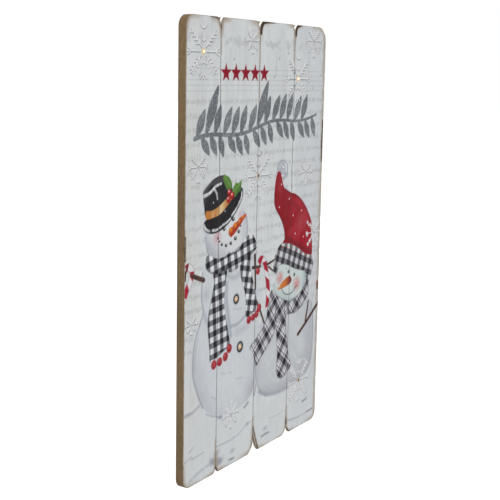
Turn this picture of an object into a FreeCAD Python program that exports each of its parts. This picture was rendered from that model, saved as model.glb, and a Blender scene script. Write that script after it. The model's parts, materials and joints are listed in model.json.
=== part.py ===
"""Lighted wall sign: four upright planks on two battens, six lamps and a two-cell battery box.

Millimetres, +Z up, the painted front faces -Y. The origin is the middle notch of the sawtooth
hanger, where the wall nail bears, on the plane of the battens' rear faces (the wall side).
Places on the board are given as (across, up): across from its left edge, up from its bottom edge,
both seen from the front.
"""
import FreeCAD, Part
import math
import os

V = FreeCAD.Vector
ALONG_Y = V(0, 1, 0)
EPS = 0.05

# Board and planks
BOARD_WIDTH = 350.0
BOARD_HEIGHT = 600.0
PLANK_THICK = 12.0
PLANK_GAP = 0.6
EDGE_ROUND = 1.6
# One row per plank: name, left, right, then each corner's rounding as (across, up), in the order
# top left, top right, bottom right, bottom left
PLANKS = [
    ("plank_left", 0.0, 74.0, (15.0, 15.0), (8.0, 13.0), (7.0, 10.0), (14.0, 12.0)),
    ("plank_centre_left", 74.0, 166.5, (5.5, 12.0), (8.0, 13.0), (14.0, 18.0), (6.0, 8.0)),
    ("plank_centre_right", 166.5, 259.7, (7.0, 12.0), (7.0, 13.0), (12.0, 15.0), (14.0, 37.0)),
    ("plank_right", 259.7, 350.0, (7.0, 11.0), (19.0, 21.0), (13.0, 13.0), (10.0, 14.0)),
]

# Battens behind the planks
BATTEN_DEPTH = 19.0
BATTEN_HEIGHT = 30.0
BATTEN_INSET = 36.0
BATTEN_CHAMFER = 0.8
UPPER_BATTEN_UP = 470.0
LOWER_BATTEN_UP = 120.0
WIRE_NOTCH_WIDTH = 6.0
WIRE_NOTCH_DEPTH = 4.0
UPPER_NOTCH_ACROSS = 150.0
LOWER_NOTCH_ACROSS = 200.0

# Wood screws through the battens into the planks
SCREW_ACROSS = (55.0, 120.0, 213.0, 298.0)
SCREW_R = 1.7
SCREW_HEAD_R = 3.4
SCREW_HEAD_DEPTH = 2.2
SCREW_SUNK = 0.2
SCREW_LENGTH = 28.0
SCREW_TIP = 3.0
SCREW_HOLE_GAP = 0.1
RECESS_WIDTH = 1.0
RECESS_SPAN = 3.6
RECESS_DEPTH = 1.6

# Sawtooth hanger and its two brads
HANGER_LENGTH = 44.0
HANGER_THICK = 0.9
HANGER_STRIP = (4.5, 10.5)
HANGER_STEP = 1.9
HANGER_BEND_Z = 2.0
TOOTH_DEPTH = 3.0
TOOTH_PITCH = 4.0
TOOTH_COUNT = 7
BRAD_X = 18.0
BRAD_Z = 7.5
BRAD_R = 0.7
BRAD_HEAD_R = 1.7
BRAD_HEAD_THICK = 0.7
BRAD_DEPTH = 12.0
BRAD_GAP = 0.05

# Lamps: five millimetre light-emitting diodes set in stepped holes
LED_R = 2.5
LED_HOLE_R = 2.6
LED_PROUD = 1.6
LED_FLANGE_R = 2.9
LED_FLANGE = 1.0
COUNTERBORE_R = 4.2
COUNTERBORE_DEPTH = 6.0
PIN_R = 0.25
PIN_SPACING = 2.54
PIN_GAP = 0.03
# One row per lamp: name, across, up, direction of its joint sleeve in degrees from +X
LEDS = [
    ("led_top_left", 35.8, 556.7, 0.0),
    ("led_upper_right", 270.0, 525.5, 20.0),
    ("led_centre", 168.2, 395.0, 0.0),
    ("led_upper_button", 117.8, 232.2, 0.0),
    ("led_lower_button", 129.0, 163.5, 0.0),
    ("led_bottom_right", 294.6, 74.9, 0.0),
]

# Wiring on the back
WIRE_R = 0.9
WIRE_LIFT = 1.6
WIRE_BEND = 9.0
SLEEVE_R = 1.5
SLEEVE_LENGTH = 12.0
SLEEVE_LEAD = 5.0
GLUE_GAP = 0.05
BEAD_BASE_R = 7.5
BEAD_HEIGHT = 4.2
DAB_BASE_R = 5.0
DAB_HEIGHT = 3.4

# Battery box
BOX_ACROSS = 225.0
BOX_FOOT_UP = 212.0
TAPE_THICK = 0.8
TAPE_HALF_WIDTH = 14.0
TAPE_MARGIN = 4.0
BOX_HALF_WIDTH = 17.6
BOX_INNER_HALF = 15.2
BOX_FLOOR = 1.2
BOX_REAR_CLEAR = 1.0
BOX_END_WALL = 1.6
BOX_ROUND = 1.2
SWITCH_BAY_LENGTH = 14.0
PARTITION = 1.5
CELL_BAY_LENGTH = 55.5
ROOF_THICK = 1.6
RIB_HALF = 0.8
RIB_HEIGHT = 3.5
COVER_THICK = 1.4
COVER_HALF = 15.4
TONGUE_HALF = 16.15
TONGUE_THICK = 0.7
SLIDE_GAP = 0.08
COVER_RIB_COUNT = 5
COVER_RIB_PITCH = 3.0
COVER_RIB_WIDTH = 1.2
COVER_RIB_HALF = 7.0
COVER_RIB_PROUD = 0.5

# Cells and contacts
CELL_R = 7.1
CELL_HALF_PITCH = 7.6
CELL_BODY = 49.2
NUB_R = 2.7
NUB_LENGTH = 1.3
CELL_ROUND = 0.5
PLATE_HALF = 5.5
PLATE_THICK = 0.4
SPRING_R = 3.6
SPRING_WIRE_R = 0.3
SPRING_LENGTH = 4.0
SPRING_TURNS = 2.75
SPRING_POINTS_PER_TURN = 12

# Three-position switch and timer board
KNOB_SIDE = 3.0
SWITCH_TRAVEL = 4.0
SLOT_GAP = 0.2
KNOB_PROUD = 0.6
KNOB_RIDGES = 3
SWITCH_BODY_HALF = 5.6
SWITCH_BODY_HALF_Z = 2.8
SWITCH_BODY_DEPTH = 4.0
POCKET_DEPTH = 2.0
TIMER_HALF_WIDTH = 11.0
TIMER_HALF_HEIGHT = 5.5
TIMER_THICK = 1.0
TIMER_LIFT = 4.4
POST_R = 1.5
POST_X = 8.0
BLOB_R = 3.4
BLOB_HEIGHT = 1.3
LEAD_HOLE_R = 1.1
LEAD_LIFT = 1.6
LEAD_HOLE_UP = 3.2
LEAD_INSIDE = 9.0

# Planes worked out from the sizes above
BACK_Y = -BATTEN_DEPTH
FRONT_Y = BACK_Y - PLANK_THICK
WIRE_Y = BACK_Y + WIRE_LIFT
SEAT_Y = BACK_Y - COUNTERBORE_DEPTH
TRAY_Y = BACK_Y + TAPE_THICK
FLOOR_Y = TRAY_Y + BOX_FLOOR
REAR_Y = -BOX_REAR_CLEAR
ROOF_Y = REAR_Y - ROOF_THICK
COVER_Y = REAR_Y - COVER_THICK
CELL_Y = FLOOR_Y + 2 * EPS + CELL_R


def board(across, up, y):
    """A point given across and up the board, in the part's own frame."""
    return V(across - BOARD_WIDTH / 2, y, up - UPPER_BATTEN_UP)


BOX_X = board(BOX_ACROSS, 0, 0).x
BAY_Z = board(0, BOX_FOOT_UP, 0).z + BOX_END_WALL
PARTITION_Z = BAY_Z + SWITCH_BAY_LENGTH
CELLS_Z = PARTITION_Z + PARTITION
CELLS_TOP_Z = CELLS_Z + CELL_BAY_LENGTH
BOX_TOP_Z = CELLS_TOP_Z + BOX_END_WALL
COVER_STOP_Z = CELLS_Z - PARTITION / 2
SWITCH_Z = BAY_Z + SWITCH_BAY_LENGTH / 2
LEAD_Z = BAY_Z + LEAD_HOLE_UP
LEAD_Y = FLOOR_Y + LEAD_LIFT


def block(x0, x1, y0, y1, z0, z1):
    """A box between two corners."""
    return Part.makeBox(x1 - x0, y1 - y0, z1 - z0, V(x0, y0, z0))


def rod(radius, start, end):
    """A cylinder between two points."""
    axis = end - start
    return Part.makeCylinder(radius, axis.Length, start, axis)


def save(name, solids):
    """Writes one node, a single solid or a group of separate ones."""
    shape = solids if isinstance(solids, Part.Shape) else Part.makeCompound(solids)
    bad = [s for s in shape.Solids if not s.isValid() or s.Volume <= 0]
    if bad or not shape.Solids:
        raise SystemExit(name + " is not a sound solid")
    shape.exportStep("parts/" + name + ".step")


# ---- planks --------------------------------------------------------------------------------

def corner_arc(start, corner, end):
    """The worn arc from start to end: as full as it can be without passing the plank's sides."""
    chord = end - start
    middle = (start + end) * 0.5
    angle = min(chord.getAngle(corner - start), (start - end).getAngle(corner - end))
    rise = chord.Length / 2 * math.tan(angle / 2)
    outward = corner - middle
    outward = outward - chord * (outward.dot(chord) / chord.Length ** 2)
    return Part.Arc(start, middle + outward.normalize() * rise, end)


def plank(left, right, corners):
    """One plank: worn corners, and its front edges rounded over."""
    x0 = left + (PLANK_GAP / 2 if left > 0 else 0)
    x1 = right - (PLANK_GAP / 2 if right < BOARD_WIDTH else 0)
    signs = [(x0, BOARD_HEIGHT, 1, -1), (x1, BOARD_HEIGHT, -1, -1), (x1, 0, -1, 1), (x0, 0, 1, 1)]
    arcs = []
    for index, ((across, up, sx, sz), (dx, dz)) in enumerate(zip(signs, corners)):
        corner = board(across, up, FRONT_Y)
        along_side = corner + V(0, 0, sz * dz)
        along_end = corner + V(sx * dx, 0, 0)
        points = (along_side, along_end) if index % 2 == 0 else (along_end, along_side)
        arcs.append(corner_arc(points[0], corner, points[1]))
    edges = []
    for arc, following in zip(arcs, arcs[1:] + arcs[:1]):
        edges.append(arc.toShape())
        edges.append(Part.LineSegment(arc.EndPoint, following.StartPoint).toShape())
    solid = Part.Face(Part.Wire(edges)).extrude(V(0, PLANK_THICK, 0))
    front = [e for e in solid.Edges if all(abs(v.Point.y - FRONT_Y) < EPS for v in e.Vertexes)]
    return solid.makeFillet(EDGE_ROUND, front)


def led_hole(across, up):
    """The stepped hole of one lamp: narrow to the front, wide from the back."""
    front = board(across, up, FRONT_Y - EDGE_ROUND)
    back = board(across, up, BACK_Y + EDGE_ROUND)
    seat = board(across, up, SEAT_Y)
    return rod(LED_HOLE_R, front, back).fuse(rod(COUNTERBORE_R, seat, back))


def plank_pilot(across, up):
    """The blind hole of one screw in the back of a plank."""
    depth = SCREW_LENGTH + SCREW_SUNK + 2 * SCREW_HOLE_GAP
    return rod(SCREW_R + EPS, board(across, up, -depth), board(across, up, BACK_Y + 1))


def make_planks():
    cutters = [led_hole(across, up) for _, across, up, _ in LEDS]
    for up in (UPPER_BATTEN_UP, LOWER_BATTEN_UP):
        cutters += [plank_pilot(across, up) for across in SCREW_ACROSS]
    for name, left, right, *corners in PLANKS:
        solid = plank(left, right, corners)
        near = [c for c in cutters if c.BoundBox.intersect(solid.BoundBox)]
        save(name, solid.cut(near))


# ---- battens, screws and hanger ------------------------------------------------------------

def batten(up, notch_across):
    """A batten with chamfered edges, countersunk screw holes and a notch for the wire."""
    low = board(BATTEN_INSET, up - BATTEN_HEIGHT / 2, BACK_Y)
    high = board(BOARD_WIDTH - BATTEN_INSET, up + BATTEN_HEIGHT / 2, 0)
    solid = block(low.x, high.x, low.y, high.y, low.z, high.z)
    rear = [e for e in solid.Edges if all(abs(v.Point.y) < EPS for v in e.Vertexes)]
    solid = solid.makeChamfer(BATTEN_CHAMFER, rear)
    notch = board(notch_across, up, BACK_Y)
    half = WIRE_NOTCH_WIDTH / 2
    cutters = [block(notch.x - half, notch.x + half, BACK_Y - 1, BACK_Y + WIRE_NOTCH_DEPTH,
                     low.z - 1, high.z + 1)]
    for across in SCREW_ACROSS:
        hole_r = SCREW_R + SCREW_HOLE_GAP
        mouth_r = SCREW_HEAD_R + SCREW_HOLE_GAP
        cutters.append(rod(hole_r, board(across, up, BACK_Y - 1), board(across, up, 1)))
        cutters.append(Part.makeCone(mouth_r, hole_r, SCREW_HEAD_DEPTH,
                                     board(across, up, -SCREW_SUNK + EPS), -ALONG_Y))
        cutters.append(rod(mouth_r, board(across, up, -SCREW_SUNK), board(across, up, 1)))
    return solid.cut(cutters)


def screw(across, up):
    """A countersunk wood screw with a cross recess, pointing to the front."""
    head = board(across, up, -SCREW_SUNK)
    shank_start = head - ALONG_Y * SCREW_HEAD_DEPTH
    tip_start = head - ALONG_Y * (SCREW_LENGTH - SCREW_TIP)
    solid = Part.makeCone(SCREW_HEAD_R, SCREW_R, SCREW_HEAD_DEPTH, head, -ALONG_Y)
    solid = solid.fuse(rod(SCREW_R, shank_start, tip_start))
    solid = solid.fuse(Part.makeCone(SCREW_R, SCREW_R / 5, SCREW_TIP, tip_start, -ALONG_Y))
    wide, narrow = RECESS_SPAN / 2, RECESS_WIDTH / 2
    floor_y = head.y - RECESS_DEPTH
    for half_x, half_z in ((wide, narrow), (narrow, wide)):
        solid = solid.cut(block(head.x - half_x, head.x + half_x, floor_y, head.y + 1,
                                head.z - half_z, head.z + half_z))
    return solid


def hanger():
    """A toothed strip: nailed along its top, its toothed edge bent out so a nail fits behind."""
    low, high = HANGER_STRIP
    inner = [(0, high), (0, low), (HANGER_STEP, HANGER_BEND_Z), (HANGER_STEP, -TOOTH_DEPTH)]
    outer = [(HANGER_STEP + HANGER_THICK, -TOOTH_DEPTH), (HANGER_STEP + HANGER_THICK, HANGER_BEND_Z),
             (HANGER_THICK, low + HANGER_THICK / 2), (HANGER_THICK, high)]
    points = [V(-HANGER_LENGTH / 2, y, z) for y, z in inner + outer]
    solid = Part.Face(Part.makePolygon(points + points[:1])).extrude(V(HANGER_LENGTH, 0, 0))
    cutters = [rod(BRAD_R + BRAD_GAP, V(x, -1, BRAD_Z), V(x, 2, BRAD_Z)) for x in (-BRAD_X, BRAD_X)]
    for index in range(TOOTH_COUNT):
        x = (index - TOOTH_COUNT // 2) * TOOTH_PITCH
        half = TOOTH_PITCH / 2
        notch = [V(x - half, 0, -TOOTH_DEPTH - EPS), V(x + half, 0, -TOOTH_DEPTH - EPS), V(x, 0, 0)]
        cutters.append(Part.Face(Part.makePolygon(notch + notch[:1])).extrude(V(0, 5, 0)))
    return solid.cut(cutters)


def brad(x):
    head = rod(BRAD_HEAD_R, V(x, HANGER_THICK, BRAD_Z), V(x, HANGER_THICK + BRAD_HEAD_THICK, BRAD_Z))
    return head.fuse(rod(BRAD_R, V(x, -BRAD_DEPTH, BRAD_Z), V(x, HANGER_THICK, BRAD_Z)))


def make_frame():
    brad_holes = [rod(BRAD_R + BRAD_GAP, V(x, -BRAD_DEPTH - EPS, BRAD_Z), V(x, 1, BRAD_Z))
                  for x in (-BRAD_X, BRAD_X)]
    save("batten_upper", batten(UPPER_BATTEN_UP, UPPER_NOTCH_ACROSS).cut(brad_holes))
    save("batten_lower", batten(LOWER_BATTEN_UP, LOWER_NOTCH_ACROSS))
    save("upper_batten_screws", [screw(across, UPPER_BATTEN_UP) for across in SCREW_ACROSS])
    save("lower_batten_screws", [screw(across, LOWER_BATTEN_UP) for across in SCREW_ACROSS])
    save("sawtooth_hanger", hanger())
    save("hanger_brads", [brad(x) for x in (-BRAD_X, BRAD_X)])


# ---- lamps and wiring ----------------------------------------------------------------------

def sleeve_direction(degrees):
    return V(math.cos(math.radians(degrees)), 0, math.sin(math.radians(degrees)))


def pins(across, up, degrees, radius):
    """The two leads of a lamp, from its flange into the joint sleeve."""
    offset = sleeve_direction(degrees) * (PIN_SPACING / 2)
    start = board(across, up, SEAT_Y + LED_FLANGE / 2)
    end = board(across, up, WIRE_Y)
    return [rod(radius, start + side, end + side) for side in (offset, offset * -1)]


def led(across, up, degrees):
    """A lamp: domed lens, seating flange and two leads, one piece."""
    tip = board(across, up, FRONT_Y - LED_PROUD)
    dome = tip + ALONG_Y * LED_R
    seat = board(across, up, SEAT_Y)
    lens = Part.makeSphere(LED_R, dome).fuse(rod(LED_R, dome, seat))
    lens = lens.fuse(rod(LED_FLANGE_R, seat, seat + ALONG_Y * LED_FLANGE))
    return lens.fuse(pins(across, up, degrees, PIN_R)).removeSplitter()


def sleeve_rod(across, up, degrees, radius):
    centre = board(across, up, WIRE_Y)
    half = sleeve_direction(degrees) * (SLEEVE_LENGTH / 2)
    return rod(radius, centre - half, centre + half)


def leaving(name, side):
    """A wire's first two points, straight out of a lamp's sleeve: side is 1 for the end that the
    sleeve points to, -1 for the other."""
    for led_name, across, up, degrees in LEDS:
        if led_name == name:
            outward = sleeve_direction(degrees) * side
            end = board(across, up, WIRE_Y) + outward * (SLEEVE_LENGTH / 2)
            return [end, end + outward * SLEEVE_LEAD]
    raise ValueError(name)


def reaching(name, side):
    """A wire's last two points, straight into a lamp's sleeve."""
    return leaving(name, side)[::-1]


def cap(across, up, base_r, height):
    """A low dome standing on the planks' back face."""
    ball_r = (base_r ** 2 + height ** 2) / (2 * height)
    ball = Part.makeSphere(ball_r, board(across, up, BACK_Y + height - ball_r))
    middle = board(across, up, BACK_Y)
    keep = block(middle.x - base_r, middle.x + base_r, BACK_Y, BACK_Y + height + 1,
                 middle.z - base_r, middle.z + base_r)
    return ball.common(keep)


def tube(points, radius, bend):
    """A round tube along straight runs joined by tangent arcs."""
    edges = []
    start = points[0]
    for before, corner, after in zip(points, points[1:], points[2:]):
        into = (corner - before).normalize()
        out = (after - corner).normalize()
        half = into.getAngle(out) / 2
        reach = min(bend * math.tan(half), 0.45 * min((corner - before).Length, (after - corner).Length))
        arc_r = reach / math.tan(half)
        middle = corner + (out - into).normalize() * (arc_r / math.cos(half) - arc_r)
        arc_start, arc_end = corner - into * reach, corner + out * reach
        edges.append(Part.LineSegment(start, arc_start).toShape())
        edges.append(Part.Arc(arc_start, middle, arc_end).toShape())
        start = arc_end
    edges.append(Part.LineSegment(start, points[-1]).toShape())
    profile = Part.Wire([Part.makeCircle(radius, points[0], points[1] - points[0])])
    return Part.Wire(edges).makePipeShell([profile], True, True)


def on_back(*places):
    return [board(across, up, WIRE_Y) for across, up in places]


def box_lead(side):
    """The first points of a wire: soldered under the timer board, then out through the box's side."""
    inside = V(BOX_X + side * LEAD_INSIDE, LEAD_Y, LEAD_Z)
    joint = V(BOX_X + side * LEAD_INSIDE, FLOOR_Y + TIMER_LIFT - EPS, LEAD_Z)
    outside = V(BOX_X + side * (BOX_HALF_WIDTH + 4), LEAD_Y, LEAD_Z)
    landing = V(BOX_X + side * (BOX_HALF_WIDTH + 14), WIRE_Y, LEAD_Z)
    return [joint, inside, outside, landing]


def wire_routes():
    """Every wire's corner points, from one joint to the next."""
    return {
        "wire_box_to_centre": box_lead(1) + on_back((262, 226), (268, 300), (262, 372), (215, 396))
        + reaching("led_centre", 1),
        "wire_centre_to_upper_right": leaving("led_centre", -1)
        + on_back((150, 400), (149.5, 430), (150.5, 500), (205, 514), (240, 511))
        + reaching("led_upper_right", -1),
        "wire_upper_right_to_top_left": leaving("led_upper_right", 1)
        + on_back((300, 542), (288, 562), (190, 568), (90, 562)) + reaching("led_top_left", 1),
        "wire_box_to_upper_button": box_lead(-1) + on_back((165, 221), (142, 231))
        + reaching("led_upper_button", 1),
        "wire_upper_to_lower_button": leaving("led_upper_button", -1)
        + on_back((96, 226), (92, 190), (104, 166)) + reaching("led_lower_button", -1),
        "wire_lower_button_to_bottom_right": leaving("led_lower_button", 1)
        + on_back((160, 164), (199, 160), (200.5, 86), (250, 77)) + reaching("led_bottom_right", -1),
    }


# Glue dabs that tie the wires down between the lamps, each on a straight run
DABS = [
    ("wire_box_to_centre", 265.0, 263.0), ("wire_box_to_centre", 265.0, 336.0),
    ("wire_centre_to_upper_right", 149.8, 440.0), ("wire_centre_to_upper_right", 178.0, 507.1),
    ("wire_upper_right_to_top_left", 239.0, 565.0), ("wire_upper_right_to_top_left", 140.0, 565.0),
    ("wire_box_to_upper_button", 176.0, 219.0), ("wire_upper_to_lower_button", 94.2, 210.0),
    ("wire_lower_button_to_bottom_right", 180.0, 162.0),
    ("wire_lower_button_to_bottom_right", 225.0, 81.5),
]


def make_wiring():
    routes = wire_routes()
    wires = {name: tube(points, WIRE_R, WIRE_BEND) for name, points in routes.items()}
    channels = {name: tube(points, WIRE_R + GLUE_GAP, WIRE_BEND) for name, points in routes.items()}
    for name, wire in wires.items():
        save(name, wire)
    sleeves, beads = [], []
    for name, across, up, degrees in LEDS:
        save(name, led(across, up, degrees))
        holes = pins(across, up, degrees, PIN_R + PIN_GAP)
        sleeves.append(sleeve_rod(across, up, degrees, SLEEVE_R).cut(holes))
        fill = rod(COUNTERBORE_R - 2 * EPS, board(across, up, SEAT_Y + LED_FLANGE + EPS),
                   board(across, up, BACK_Y))
        bead = fill.fuse(cap(across, up, BEAD_BASE_R, BEAD_HEIGHT))
        around = [sleeve_rod(across, up, degrees, SLEEVE_R + EPS)]
        around += [c for c in channels.values() if c.BoundBox.intersect(bead.BoundBox)]
        beads.append(bead.cut(holes + around))
    save("led_sleeves", sleeves)
    save("led_glue_beads", beads)
    save("wire_glue_dabs", [cap(across, up, DAB_BASE_R, DAB_HEIGHT).cut(channels[name])
                            for name, across, up in DABS])


# ---- battery box ---------------------------------------------------------------------------

def across_box(half, y0, y1, z0, z1):
    """A block centred across the battery box."""
    return block(BOX_X - half, BOX_X + half, y0, y1, z0, z1)


def battery_tray():
    """The box's body: two cell channels, a roofed switch bay and grooves for the cover."""
    solid = across_box(BOX_HALF_WIDTH, TRAY_Y, REAR_Y, BAY_Z - BOX_END_WALL, BOX_TOP_Z)
    upright = [e for e in solid.Edges if abs(e.Vertexes[0].Point.y - e.Vertexes[1].Point.y) > 1]
    solid = solid.makeFillet(BOX_ROUND, upright)
    above = REAR_Y + 1
    past_end = BOX_TOP_Z + 1
    groove_y = COVER_Y - SLIDE_GAP
    lip_y = COVER_Y + TONGUE_THICK + SLIDE_GAP
    solid = solid.cut([
        across_box(BOX_INNER_HALF, FLOOR_Y, ROOF_Y, BAY_Z, PARTITION_Z),
        across_box(BOX_INNER_HALF, FLOOR_Y, above, CELLS_Z, CELLS_TOP_Z),
        across_box(COVER_HALF + SLIDE_GAP, groove_y, above, COVER_STOP_Z, past_end),
        across_box(TONGUE_HALF + SLIDE_GAP, groove_y, lip_y, COVER_STOP_Z, past_end),
        across_box(SWITCH_TRAVEL / 2 + KNOB_SIDE / 2 + SLOT_GAP, ROOF_Y - 1, above,
                   SWITCH_Z - KNOB_SIDE / 2 - SLOT_GAP, SWITCH_Z + KNOB_SIDE / 2 + SLOT_GAP),
        rod(LEAD_HOLE_R, V(BOX_X - BOX_HALF_WIDTH - 1, LEAD_Y, LEAD_Z),
            V(BOX_X + BOX_HALF_WIDTH + 1, LEAD_Y, LEAD_Z)),
    ])
    rib_top_z = CELLS_TOP_Z - 2 * PLATE_THICK
    rib = across_box(RIB_HALF, FLOOR_Y - EPS, FLOOR_Y + RIB_HEIGHT, CELLS_Z - EPS, rib_top_z)
    posts = [rod(POST_R, V(BOX_X + side * POST_X, FLOOR_Y - EPS, SWITCH_Z + 2),
                 V(BOX_X + side * POST_X, FLOOR_Y + TIMER_LIFT, SWITCH_Z + 2)) for side in (-1, 1)]
    return solid.fuse([rib] + posts).removeSplitter()


def battery_cover():
    """The sliding cover: a plate with side tongues and a ribbed thumb patch."""
    z0 = COVER_STOP_Z + SLIDE_GAP
    solid = across_box(COVER_HALF, COVER_Y, REAR_Y, z0, BOX_TOP_Z)
    solid = solid.fuse(across_box(TONGUE_HALF, COVER_Y, COVER_Y + TONGUE_THICK, z0, BOX_TOP_Z))
    for index in range(COVER_RIB_COUNT):
        rib_z = z0 + 2 * COVER_RIB_PITCH + index * COVER_RIB_PITCH
        solid = solid.fuse(across_box(COVER_RIB_HALF, REAR_Y - EPS, REAR_Y + COVER_RIB_PROUD,
                                      rib_z, rib_z + COVER_RIB_WIDTH))
    return solid.removeSplitter()


def switch_slider():
    """The knob at its ON end, with grip ridges; its foot runs in the switch body's pocket."""
    centre = BOX_X + SWITCH_TRAVEL / 2
    half = KNOB_SIDE / 2
    foot_y = ROOF_Y - EPS - POCKET_DEPTH + 2 * EPS
    solid = block(centre - half, centre + half, foot_y, REAR_Y + KNOB_PROUD,
                  SWITCH_Z - half, SWITCH_Z + half)
    for index in range(KNOB_RIDGES):
        x = centre - half + KNOB_SIDE * (index + 0.5) / KNOB_RIDGES
        solid = solid.cut(block(x - 0.2, x + 0.2, REAR_Y + KNOB_PROUD - 0.3, REAR_Y + 1,
                                SWITCH_Z - half - 1, SWITCH_Z + half + 1))
    return solid


def switch_body():
    """The switch's housing under the roof, with the pocket that the knob's foot runs in."""
    top_y = ROOF_Y - EPS
    solid = across_box(SWITCH_BODY_HALF, top_y - SWITCH_BODY_DEPTH, top_y,
                       SWITCH_Z - SWITCH_BODY_HALF_Z, SWITCH_Z + SWITCH_BODY_HALF_Z)
    half_z = KNOB_SIDE / 2 + SLOT_GAP
    return solid.cut(across_box(SWITCH_TRAVEL / 2 + KNOB_SIDE / 2 + SLOT_GAP, top_y - POCKET_DEPTH,
                                top_y + 1, SWITCH_Z - half_z, SWITCH_Z + half_z))


def timer_board():
    """A small circuit board on two posts, with its sealed chip."""
    y0 = FLOOR_Y + TIMER_LIFT
    solid = across_box(TIMER_HALF_WIDTH, y0, y0 + TIMER_THICK,
                       SWITCH_Z - TIMER_HALF_HEIGHT, SWITCH_Z + TIMER_HALF_HEIGHT)
    ball_r = (BLOB_R ** 2 + BLOB_HEIGHT ** 2) / (2 * BLOB_HEIGHT)
    top = y0 + TIMER_THICK
    ball = Part.makeSphere(ball_r, V(BOX_X, top + BLOB_HEIGHT - ball_r, SWITCH_Z))
    return solid.fuse(ball.common(across_box(BLOB_R, top - EPS, top + 2 * BLOB_HEIGHT,
                                             SWITCH_Z - BLOB_R, SWITCH_Z + BLOB_R)))


def cell(side):
    """One cell; side -1 has its nub up, side 1 has its nub down."""
    x = BOX_X + side * CELL_HALF_PITCH
    up = V(0, 0, -side)
    length = CELL_BODY + NUB_LENGTH
    contact_end = CELLS_TOP_Z - PLATE_THICK - EPS if side < 0 else CELLS_Z + PLATE_THICK + EPS
    base = V(x, CELL_Y, contact_end) - up * length
    body = Part.makeCylinder(CELL_R, CELL_BODY, base, up)
    body = body.makeFillet(CELL_ROUND, [e for e in body.Edges if len(e.Vertexes) == 1])
    return body.fuse(Part.makeCylinder(NUB_R, NUB_LENGTH, base + up * CELL_BODY, up))


def spring(side):
    """The coil that presses on a cell's flat end: short tangent runs and arcs around a helix."""
    x = BOX_X + side * CELL_HALF_PITCH
    foot = CELLS_Z + PLATE_THICK if side < 0 else CELLS_TOP_Z - PLATE_THICK - SPRING_LENGTH
    low = foot + SPRING_WIRE_R + EPS
    rise = SPRING_LENGTH - 2 * (SPRING_WIRE_R + EPS)
    count = round(SPRING_TURNS * SPRING_POINTS_PER_TURN)
    points = []
    for index in range(count + 1):
        angle = 2 * math.pi * index / SPRING_POINTS_PER_TURN
        points.append(V(x + SPRING_R * math.cos(angle), CELL_Y + SPRING_R * math.sin(angle),
                        low + rise * index / count))
    return tube(points, SPRING_WIRE_R, SPRING_R)


def contact_plate(half_width, centre_x, z0):
    """A thin contact plate standing against an end wall of the cell bay."""
    return block(centre_x - half_width, centre_x + half_width, CELL_Y - PLATE_HALF,
                 CELL_Y + PLATE_HALF, z0, z0 + PLATE_THICK)


def make_battery_box():
    tape_top = BOX_TOP_Z - TAPE_MARGIN
    save("mounting_tape", across_box(TAPE_HALF_WIDTH, BACK_Y, TRAY_Y, BAY_Z + TAPE_MARGIN, tape_top))
    save("battery_tray", battery_tray())
    save("battery_cover", battery_cover())
    save("switch_body", switch_body())
    save("switch_slider", switch_slider())
    save("timer_board", timer_board())
    for name, side in (("cell_left", -1), ("cell_right", 1)):
        save(name, cell(side))
    save("negative_spring", spring(-1))
    save("bridge_spring", spring(1))
    save("negative_plate", contact_plate(PLATE_HALF, BOX_X - CELL_HALF_PITCH, CELLS_Z))
    save("positive_plate", contact_plate(PLATE_HALF, BOX_X + CELL_HALF_PITCH, CELLS_Z))
    save("bridge_plate", contact_plate(CELL_HALF_PITCH + PLATE_HALF, BOX_X, CELLS_TOP_Z - PLATE_THICK))


def main():
    os.makedirs("parts", exist_ok=True)
    make_planks()
    make_frame()
    make_wiring()
    make_battery_box()


main()
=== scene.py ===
import functools
import json
import math

import bpy
import numpy as np
from mathutils import Matrix, Vector


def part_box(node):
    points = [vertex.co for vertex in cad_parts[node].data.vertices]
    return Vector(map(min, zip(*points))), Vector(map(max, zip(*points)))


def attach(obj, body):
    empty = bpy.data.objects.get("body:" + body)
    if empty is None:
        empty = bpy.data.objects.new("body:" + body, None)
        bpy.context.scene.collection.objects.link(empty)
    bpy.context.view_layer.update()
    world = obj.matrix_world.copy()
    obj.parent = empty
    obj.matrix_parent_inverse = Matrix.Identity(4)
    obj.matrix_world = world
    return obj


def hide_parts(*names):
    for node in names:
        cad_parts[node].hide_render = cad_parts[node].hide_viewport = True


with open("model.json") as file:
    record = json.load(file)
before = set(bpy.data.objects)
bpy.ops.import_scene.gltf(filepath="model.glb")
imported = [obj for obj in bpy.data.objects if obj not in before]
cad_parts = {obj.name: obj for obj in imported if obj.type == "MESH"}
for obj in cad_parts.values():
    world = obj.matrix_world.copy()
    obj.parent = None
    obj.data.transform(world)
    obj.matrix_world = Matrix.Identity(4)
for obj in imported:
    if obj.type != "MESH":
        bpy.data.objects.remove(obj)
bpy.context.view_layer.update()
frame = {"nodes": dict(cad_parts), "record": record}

MM = 0.001
PLANKS = ["plank_left", "plank_centre_left", "plank_centre_right", "plank_right"]
LAMPS = ["led_top_left", "led_upper_right", "led_centre", "led_upper_button", "led_lower_button",
         "led_bottom_right"]
LEFT_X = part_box(PLANKS[0])[0].x
RIGHT_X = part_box(PLANKS[-1])[1].x
FOOT_Z = min(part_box(name)[0].z for name in PLANKS)
HEAD_Z = max(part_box(name)[1].z for name in PLANKS)
FRONT_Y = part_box(PLANKS[0])[0].y
BACK_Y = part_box(PLANKS[0])[1].y
BOARD_WIDE = (RIGHT_X - LEFT_X) / MM
BOARD_TALL = (HEAD_Z - FOOT_Z) / MM
GAPS = [(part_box(name)[1].x - LEFT_X) / MM for name in PLANKS[:-1]]

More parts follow.
